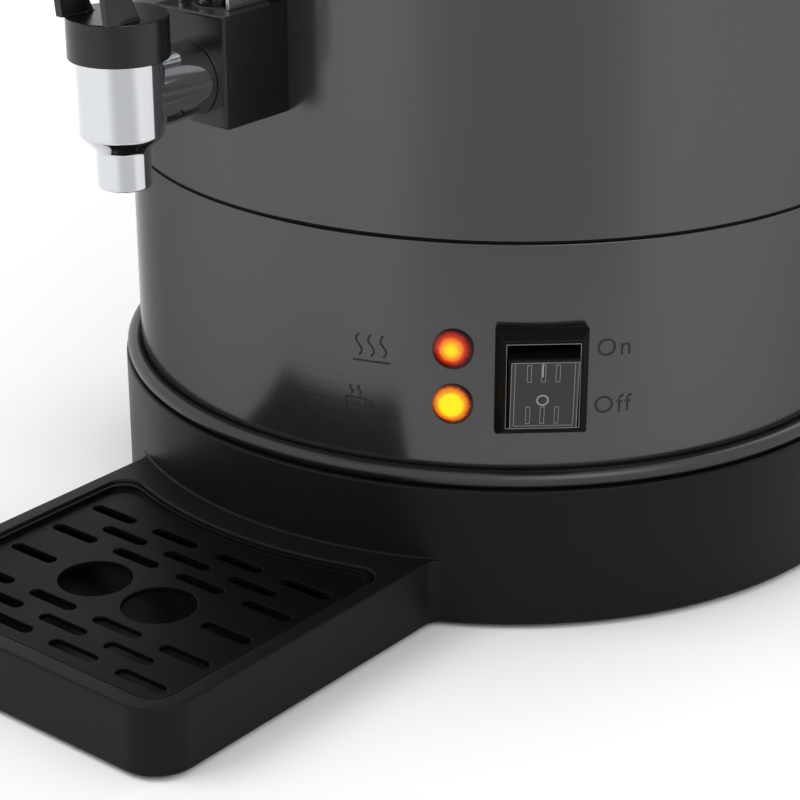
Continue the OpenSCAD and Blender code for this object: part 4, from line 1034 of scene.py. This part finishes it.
@dataclass
class Legend:
    """Marks engraved in the control panel: two pictograms by the lamps, On and Off.

    The pictograms are drawn in millimetres, before mark_scale.
    """

    ring: Ring
    depth: float                        # how far the marks reach behind the face
    front: float                        # how far they reach before it
    stroke: float = 0.6 * MM
    mark_scale: float = 1.2
    mark_drop: float = 2.0 * MM         # below the lamp's middle
    heating_deg: float = 18.4
    keep_warm_deg: float = 16.7
    words_deg: float = 51.8
    on_rise: float = 7.9 * MM           # above the switch's middle
    off_rise: float = -9.1 * MM
    letter_size: float = 7.4 * MM
    letter_space: float = 1.15
    switch_hole: tuple[float, float] = (22.4 * MM, 28.4 * MM)
    lamp_hole: float = 4.2 * MM         # its radius
    hole_depth: float = 10.0 * MM
    wave_steps: int = 14
    wisp_steps: int = 8

    def cutters(self) -> BMesh:
        """Returns everything that is cut out of the panel, as one mesh."""
        return joined(self.marks() + self.holes())

    def marks(self) -> list[BMesh]:
        """Returns the four marks in their places."""
        lamp_high = middle("heating_lamp_lens").z
        lamp_low = middle("keep_warm_lamp_lens").z
        switch_z = middle("switch_housing").z
        rows = ((self.waves(), self.heating_deg, lamp_high - self.mark_drop),
                (self.cup(), self.keep_warm_deg, lamp_low - self.mark_drop),
                (self.word("On"), self.words_deg, switch_z + self.on_rise),
                (self.word("Off"), self.words_deg, switch_z + self.off_rise))
        return [wrapped(bm, self.ring.radius, math.radians(azimuth), height)
                for bm, azimuth, height in rows]

    def holes(self) -> list[BMesh]:
        """Returns cutters for the switch and the lamps."""
        wide, tall = self.switch_hole
        slot = bar((wide, self.hole_depth, tall), (0, -self.ring.radius, 0))
        found = [placed(slot, facing(bearing("switch_housing"), middle("switch_housing").z))]
        for lamp in ("heating_lamp_lens", "keep_warm_lamp_lens"):
            bm = bmesh.new()
            bmesh.ops.create_cone(bm, cap_ends=True, segments=SMALL_STEPS,
                                  radius1=self.lamp_hole, radius2=self.lamp_hole,
                                  depth=self.hole_depth, matrix=STAND_UP)
            found.append(placed(bm, facing(bearing(lamp), middle(lamp).z, self.ring.radius)))
        return found

    def waves(self) -> BMesh:
        """Draws three rising heat waves over a line: the heating mark."""
        waves = [self.wavy(x, -2.2, 5.4, 0.7, self.wave_steps) for x in (-3.0, 0.0, 3.0)]
        return joined(waves + [self.stroke_of([(-4.6, -3.4), (0.0, -3.4), (4.6, -3.4)])])

    def cup(self) -> BMesh:
        """Draws a cup with two wisps of steam: the keep-warm mark."""
        bowl = [(-3.6, 0.6), (-3.3, -1.6), (-2.3, -3.0), (0.4, -3.0), (1.4, -1.6), (1.7, 0.6)]
        rim = [(-3.3, 0.6), (-1.0, 0.6), (1.4, 0.6)]
        ear = arc((1.9, -0.8), 1.2, 62, -78, steps=8)
        wisps = [self.wavy(x, 1.5, 2.2, 0.35, self.wisp_steps) for x in (-2.1, -0.1)]
        return joined([self.stroke_of(line) for line in (bowl, rim, ear)] + wisps)

    def wavy(self, x: float, foot: float, rise: float, swing: float, steps: int) -> BMesh:
        """Draws an upright stroke in the shape of one wave.

        Args:
            x: Where its middle line stands.
            foot: Height of its lower end.
            rise: Its height.
            swing: How far it swings to either side.
            steps: Steps along it.

        Returns:
            A closed ribbon.
        """
        return self.stroke_of([(x + swing * math.sin(math.tau * i / steps),
                                foot + rise * i / steps) for i in range(steps + 1)])

    def stroke_of(self, points: Sequence[tuple[float, float]]) -> BMesh:
        """Draws one stroke of a mark.

        Args:
            points: Points of its middle line, in the XZ plane.

        Returns:
            A closed ribbon.
        """
        bm = bmesh.new()
        path = [Vector((x, 0, z)) * self.mark_scale * MM for x, z in points]
        last = len(path) - 1
        bmesh.ops.create_grid(bm, x_segments=last, y_segments=1, size=0.5)
        for vert in bm.verts:
            i = round((vert.co.x + 0.5) * last)
            ahead = (path[min(i + 1, last)] - path[max(i - 1, 0)]).normalized()
            vert.co = path[i] + Vector((-ahead.z, 0, ahead.x)) * self.stroke * vert.co.y
        return self.thickened(bm)

    def thickened(self, bm: BMesh) -> BMesh:
        """Gives a flat mark its depth behind the face and its front before it.

        Args:
            bm: The mark, flat in the XZ plane.

        Returns:
            The same mesh, closed.
        """
        bmesh.ops.translate(bm, vec=(0, self.depth, 0), verts=bm.verts)
        extruded = bmesh.ops.extrude_face_region(bm, geom=bm.faces[:])
        moved = [item for item in extruded["geom"] if isinstance(item, BMVert)]
        bmesh.ops.translate(bm, vec=(0, -self.depth - self.front, 0), verts=moved)
        bmesh.ops.recalc_face_normals(bm, faces=bm.faces)
        return bm

    def word(self, text: str) -> BMesh:
        """Sets a word in plain letters, centred.

        Args:
            text: The word.

        Returns:
            Its closed letters.
        """
        curve = bpy.data.curves.new("word", "FONT")
        curve.body = text
        curve.size = self.letter_size
        curve.space_character = self.letter_space
        curve.align_x = "CENTER"
        curve.align_y = "CENTER"
        curve.resolution_u = 4
        thing = shown("word", curve)
        bpy.context.view_layer.update()
        bm = bmesh.new()
        bm.from_mesh(thing.evaluated_get(bpy.context.evaluated_depsgraph_get()).to_mesh())
        bpy.data.objects.remove(thing)
        bpy.data.curves.remove(curve)
        bmesh.ops.remove_doubles(bm, verts=bm.verts, dist=0.01 * MM)
        return self.thickened(placed(bm, STAND_UP))


@dataclass
class Switch(SubAssembly):
    """Rocker switch: bezel, tilting rocker with its grip ribs, and the printed I and O."""

    plain: PlainNodes = ((BRASS, ("switch_terminals",)),)
    bezel_corner: float = 0.9 * MM
    bezel_edge: float = 0.3 * MM
    bezel_depth: float = 6.0 * MM       # what of the bezel stands in front of the panel
    bezel_side: float = 12.0 * MM       # an edge farther out than this is on an outer corner
    smooth_deg: float = 25.0
    lip_half: tuple[float, float] = (10.1 * MM, 12.3 * MM)
    lip_depth: float = 0.16 * MM
    pivot_depth: float = 7.5 * MM
    tilt_deg: float = 8.0
    rocker_edge: float = 0.35 * MM
    face: float = 10.5 * MM
    plate_size: tuple[float, float, float] = (18.5 * MM, 0.2 * MM, 20.9 * MM)
    plate_edge: float = 0.05 * MM
    rim_width: float = 0.2 * MM
    rim_depth: float = 0.28 * MM
    rim_edge: float = 0.04 * MM
    face_rims: tuple[tuple[float, float, float], ...] = ((9.1 * MM, 10.3 * MM, 0.0),
                                                         (8.1 * MM, 9.85 * MM, 0.4 * MM))
    rib_pitch: float = 3.9 * MM
    rib_size: tuple[float, float, float] = (1.1 * MM, 0.6 * MM, 5.2 * MM)
    rib_row: float = 6.55 * MM
    shift: tuple[float, float] = (-0.4 * MM, 0.5 * MM)      # of ribs and print on the plate
    print_width: float = 0.34 * MM
    print_depth: float = 0.06 * MM
    bar_place: tuple[float, float] = (-0.2 * MM, 7.6 * MM)
    bar_length: float = 4.5 * MM
    ring_high: float = -1.9 * MM
    ring_radius: float = 1.5 * MM
    azimuth: float = field(default=0.0, init=False)     # these three are read from the frame
    height: float = field(default=0.0, init=False)
    rim: float = field(default=0.0, init=False)         # from the urn's axis to the bezel's front

    def draw(self) -> None:
        """Adds the bezel with its lip, a pale line of painted highlight, and the rocker."""
        self.azimuth = bearing("switch_housing")
        self.height = middle("switch_housing").z
        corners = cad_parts["switch_housing"].data.vertices
        self.rim = max(-self.local(vert.co).y for vert in corners)
        housing = cad_copy("switch_housing")
        soften(housing, self.bezel_corner, segments=4, min_deg=60, keep=self.is_outer_corner)
        soften(housing, self.bezel_edge, min_deg=20, keep=self.is_in_front)
        add_piece("switch_bezel", housing, NYLON_BLACK,
                  replaces=["switch_housing"], smooth_deg=self.smooth_deg)
        lip = joined(self.rim_of(self.lip_half, self.lip_depth, (0, 0), 0.0))
        add_piece("bezel_lip_highlight", placed(lip, facing(self.azimuth, self.height, self.rim)),
                  HIGHLIGHT_EDGE)
        self.add_rocker(facing(self.azimuth, self.height, self.rim - self.pivot_depth)
                        @ Matrix.Rotation(math.radians(self.tilt_deg), 4, "X"))

    def local(self, point: Vector) -> Vector:
        """Returns a point as seen from the urn's axis, with the switch turned to the front."""
        return Matrix.Rotation(-self.azimuth, 4, "Z") @ point

    def is_in_front(self, edge: BMEdge) -> bool:
        """Says whether an edge stands in front of the panel."""
        panel = self.rim - self.bezel_depth
        return all(-self.local(vert.co).y > panel for vert in edge.verts)

    def is_outer_corner(self, edge: BMEdge) -> bool:
        """Says whether an edge is on one of the bezel's four outer corners.

        Args:
            edge: An edge of the housing.

        Returns:
            True where it runs outwards, stands far to a side and is in front of the panel.
        """
        a, b = (self.local(vert.co) for vert in edge.verts)
        runs_out = abs(a.x - b.x) < 0.01 * MM and abs(a.z - b.z) < 0.01 * MM
        return runs_out and abs(a.x) > self.bezel_side and self.is_in_front(edge)

    def add_rocker(self, tilted: Matrix) -> None:
        """Adds the rocker with its face plate, its rims in pale painted highlight, and its marks.

        Args:
            tilted: Matrix from the rocker's own axes to its place at rest.
        """
        # The rocker's body is black, darker than its face plate: partly painted shade on its end
        # walls.
        body = soften(cad_copy("switch_rocker"), self.rocker_edge, min_deg=20)
        add_piece("rocker_body", body, NYLON_BLACK, "rocker",
                  ["switch_rocker"], self.smooth_deg)
        plate = soften(bar(self.plate_size, (0, -self.face, 0)), self.plate_edge)
        for name, bm, finish in (("rocker_face", plate, POLYCARBONATE),
                                 # The rims are pale: painted highlights along the rocker's edges
                                 # and ribs.
                                 ("rocker_rims_highlight", joined(self.rims()), HIGHLIGHT_EDGE),
                                 ("rocker_marks", self.marks(), INK_WHITE)):
            add_piece(name, placed(bm, tilted), finish, "rocker")

    def rims(self) -> list[BMesh]:
        """Returns the raised rims of the six ribs and of the face plate, which carry the pale
        painted highlight.
        """
        wide, deep, tall = self.rib_size
        rims = []
        for row in (1, -1):
            for column in (-1, 0, 1):
                place = (column * self.rib_pitch + self.shift[0],
                         row * self.rib_row + self.shift[1])
                rims += self.rim_of((wide / 2, tall / 2), deep, place, self.face)
        for half_x, half_z, rise in self.face_rims:
            rims += self.rim_of((half_x, half_z), self.rim_depth, (0, rise), self.face)
        return rims

    def rim_of(self, half_size: tuple[float, float], deep: float, centre: tuple[float, float],
               face: float) -> list[BMesh]:
        """Returns the four sides of a thin raised rim on a flat face, the shape of a painted
        highlight line.

        Args:
            half_size: Half its width and half its height, to the middle of its line.
            deep: Its depth, half of which stands out of the face.
            centre: Its place on the face.
            face: How far the face stands in front of the XZ plane.

        Returns:
            Four bars with softened edges.
        """
        x, z = centre
        half_x, half_z = half_size
        sides = [bar((2 * half_x + self.rim_width, deep, self.rim_width),
                     (x, -face, z + side * half_z)) for side in (-1, 1)]
        sides += [bar((self.rim_width, deep, 2 * half_z - self.rim_width),
                      (x + side * half_x, -face, z)) for side in (-1, 1)]
        return [soften(side, self.rim_edge, segments=2) for side in sides]

    def marks(self) -> BMesh:
        """Returns the printed bar and ring."""
        x, z = self.shift
        front = self.face + self.plate_size[1] / 2
        line = bar((self.print_width, self.print_depth, self.bar_length),
                   (x + self.bar_place[0], -front, z + self.bar_place[1]))
        outer = self.ring_radius + self.print_width / 2
        inner = self.ring_radius - self.print_width / 2
        top = self.print_depth / 2
        ring = turned([(outer, -top), (outer, top), (inner, top), (inner, -top)], SMALL_STEPS)
        placed(ring, Matrix.Translation((x, -front, z + self.ring_high)) @ STAND_UP)
        return joined([line, ring])


@dataclass
class Lamps(SubAssembly):
    """Two indicator lamps with glowing lenses."""

    plain: PlainNodes = ((POLYPROPYLENE, ("lamp_holders",)),)
    red: Stops = ((0.0, "fff01a"), (1.0, "140202"), (0.3, "ffd41a"), (0.44, "fba326"),
                  (0.58, "f27a22"), (0.68, "c83812"), (0.84, "901408"), (0.93, "420603"))
    amber: Stops = ((0.0, "fff417"), (1.0, "2a0c03"), (0.6, "ffea12"), (0.68, "f8a81a"),
                    (0.82, "ee7d16"), (0.91, "b04a10"))
    face_gap: float = 0.2 * MM
    flange: float = 1.0 * MM
    dome: float = 1.4 * MM
    dome_steps: int = 12
    lip: float = 0.6 * MM
    neck: float = 4.0 * MM
    tail: float = 5.0 * MM
    edge: float = 0.2 * MM
    bulb: tuple[float, float, float] = (-0.3 * MM, 0.0, 0.45 * MM)     # off the lens's middle

    def draw(self) -> None:
        """Adds both lenses."""
        self.add_lens("heating_lamp_lens", "red_lens", self.red)
        self.add_lens("keep_warm_lamp_lens", "amber_lens", self.amber)

    def add_lens(self, node: str, slot: str, stops: Stops) -> None:
        """Turns one lens.

        Args:
            node: The node that it stands for.
            slot: Name of the lens's colour, which goes into its finish's name.
            stops: Colours from its middle to its rim.
        """
        azimuth = bearing(node)
        low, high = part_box(node)
        radius = (high.z - low.z) / 2
        seat = facing(azimuth, middle(node).z, Ring.of("control_panel").radius + self.face_gap)
        inner = radius - self.lip
        ball = (inner ** 2 + self.dome ** 2) / (2 * self.dome)
        widest = math.asin(inner / ball)
        turns = [widest * (1 - i / self.dome_steps) for i in range(self.dome_steps + 1)]
        outline = [(0, -self.tail), (self.neck, -self.tail), (self.neck, 0), (radius, 0),
                   (radius, self.flange)]
        outline += [(ball * math.sin(a), self.flange + self.dome - ball + ball * math.cos(a))
                    for a in turns]
        bm = soften(turned(outline, SMALL_STEPS), self.edge, segments=2, min_deg=50)
        lens = GlowingLens(f"acrylic_{slot}_lit", "2a0a05", 0.2, ior=1.3,
                           centre=seat @ Vector(self.bulb), azimuth=azimuth, radius=radius,
                           stops=stops)
        add_piece(f"{node}_cap", placed(bm, seat @ STAND_UP), lens, replaces=[node])


@dataclass
class Tap(SubAssembly):
    """Press-down tap with its bonnet, lever and valve."""

    rounded: tuple[Rounded, ...] = (
        Rounded("tap_body", CHROME, "chrome_plate", 0.5 * MM),
        Rounded("tap_bonnet", PHENOLIC, "black_plastic", 0.35 * MM),
        Rounded("tap_lever", PHENOLIC, "black_plastic", 0.6 * MM, "lever"),
        Rounded("lever_pin", ZINC_PLATE, "zinc", 0.2 * MM),
        Rounded("valve_stem", ZINC_PLATE, "zinc", 0.2 * MM, "stem"),
        Rounded("tap_nut", CHROME, "chrome_plate", 0.3 * MM),
    )
    plain: PlainNodes = (
        (CHROME, ("tap_shank",)), (ZINC_PLATE, ("shank_spacer",)),
        (SILICONE, ("tank_seal", "valve_plug")))
    stem_travel: float = 4.5 * MM

    def draw(self) -> None:
        """Adds the spring, with a mesh of its own."""
        coils = add_piece("spring_coils", cad_copy("valve_spring"), ZINC_PLATE,
                          replaces=["valve_spring"])
        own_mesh(coils)


@dataclass
class Gauge(SubAssembly):
    """Water gauge: block, glass tube in its guard, and cap."""

    rounded: tuple[Rounded, ...] = (
        Rounded("gauge_block", PHENOLIC, "black_plastic", 0.8 * MM, gap=1.5 * MM),
        Rounded("gauge_cap", PHENOLIC, "black_plastic", 0.8 * MM, gap=1.5 * MM),
        Rounded("gauge_guard", STAINLESS_STRIP, "stainless", 0.2 * MM),
    )
    plain: PlainNodes = (
        (RUBBER, ("gauge_seals",)), (ZINC_PLATE, ("gauge_screw",)))
    glass_wall: float = 1.2 * MM
    glass_edge: float = 0.3 * MM

    def draw(self) -> None:
        """Turns the glass tube."""
        low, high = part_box("gauge_tube")
        centre = middle("gauge_tube")
        outer = (high[0] - low[0]) / 2
        inner = outer - self.glass_wall
        outline = [(outer, low[2]), (outer, high[2]), (inner, high[2]), (inner, low[2])]
        bm = soften(turned(outline, SMALL_STEPS), self.glass_edge)
        placed(bm, Matrix.Translation((centre.x, centre.y, 0)))
        add_piece("glass_tube", bm, GLASS, replaces=["gauge_tube"])


@dataclass
class Lid(SubAssembly):
    """Spun lid with its gasket, knob and screw."""

    rounded: tuple[Rounded, ...] = (
        Rounded("lid_knob", PHENOLIC, "black_plastic", 0.6 * MM, "lid"),
    )
    plain: PlainNodes = (
        (TINTED_SPUN, ("lid",)), (SILICONE, ("lid_gasket",)), (ZINC_PLATE, ("knob_screw",)))


@dataclass
class Handles(SubAssembly):
    """Two loop handles, rounded to the hand."""

    rounded: tuple[Rounded, ...] = tuple(
        Rounded(node, PHENOLIC, "black_plastic", 2.6 * MM, segments=5, min_deg=50.0,
                gap=0.5 * MM) for node in ("handle_left", "handle_right"))
    plain: PlainNodes = ((ZINC_PLATE, ("handle_screws",)),)


@dataclass
class Inside(SubAssembly):
    """What the tank and the base hold."""

    rounded: tuple[Rounded, ...] = (
        Rounded("power_inlet", PHENOLIC, "black_plastic", 0.4 * MM),
    )
    plain: PlainNodes = (
        (STAINLESS, ("inner_tank", "pump_tube", "pump_valve", "coffee_basket",
                     "basket_spreader")),
        (ZINC_PLATE, ("tie_rods", "rod_nuts", "clamp_plate")),
        (ALUMINIUM, ("brew_heater", "warm_heater")),
        (STEATITE, ("thermostats", "terminal_block")),
        (BRAID, ("wiring",)),
        (BRASS, ("inlet_pins",)),
    )


def main() -> None:
    """Builds the studio and every sub-assembly, in order."""
    logging.basicConfig(level=logging.INFO, format="%(name)s: %(message)s")
    for part in (Studio(), Base(), Shell(), Switch(), Lamps(), Tap(), Gauge(), Lid(), Handles(),
                 Inside()):
        LOG.info("building %s", type(part).__name__)
        part.build()


if __name__ == "__main__":
    main()
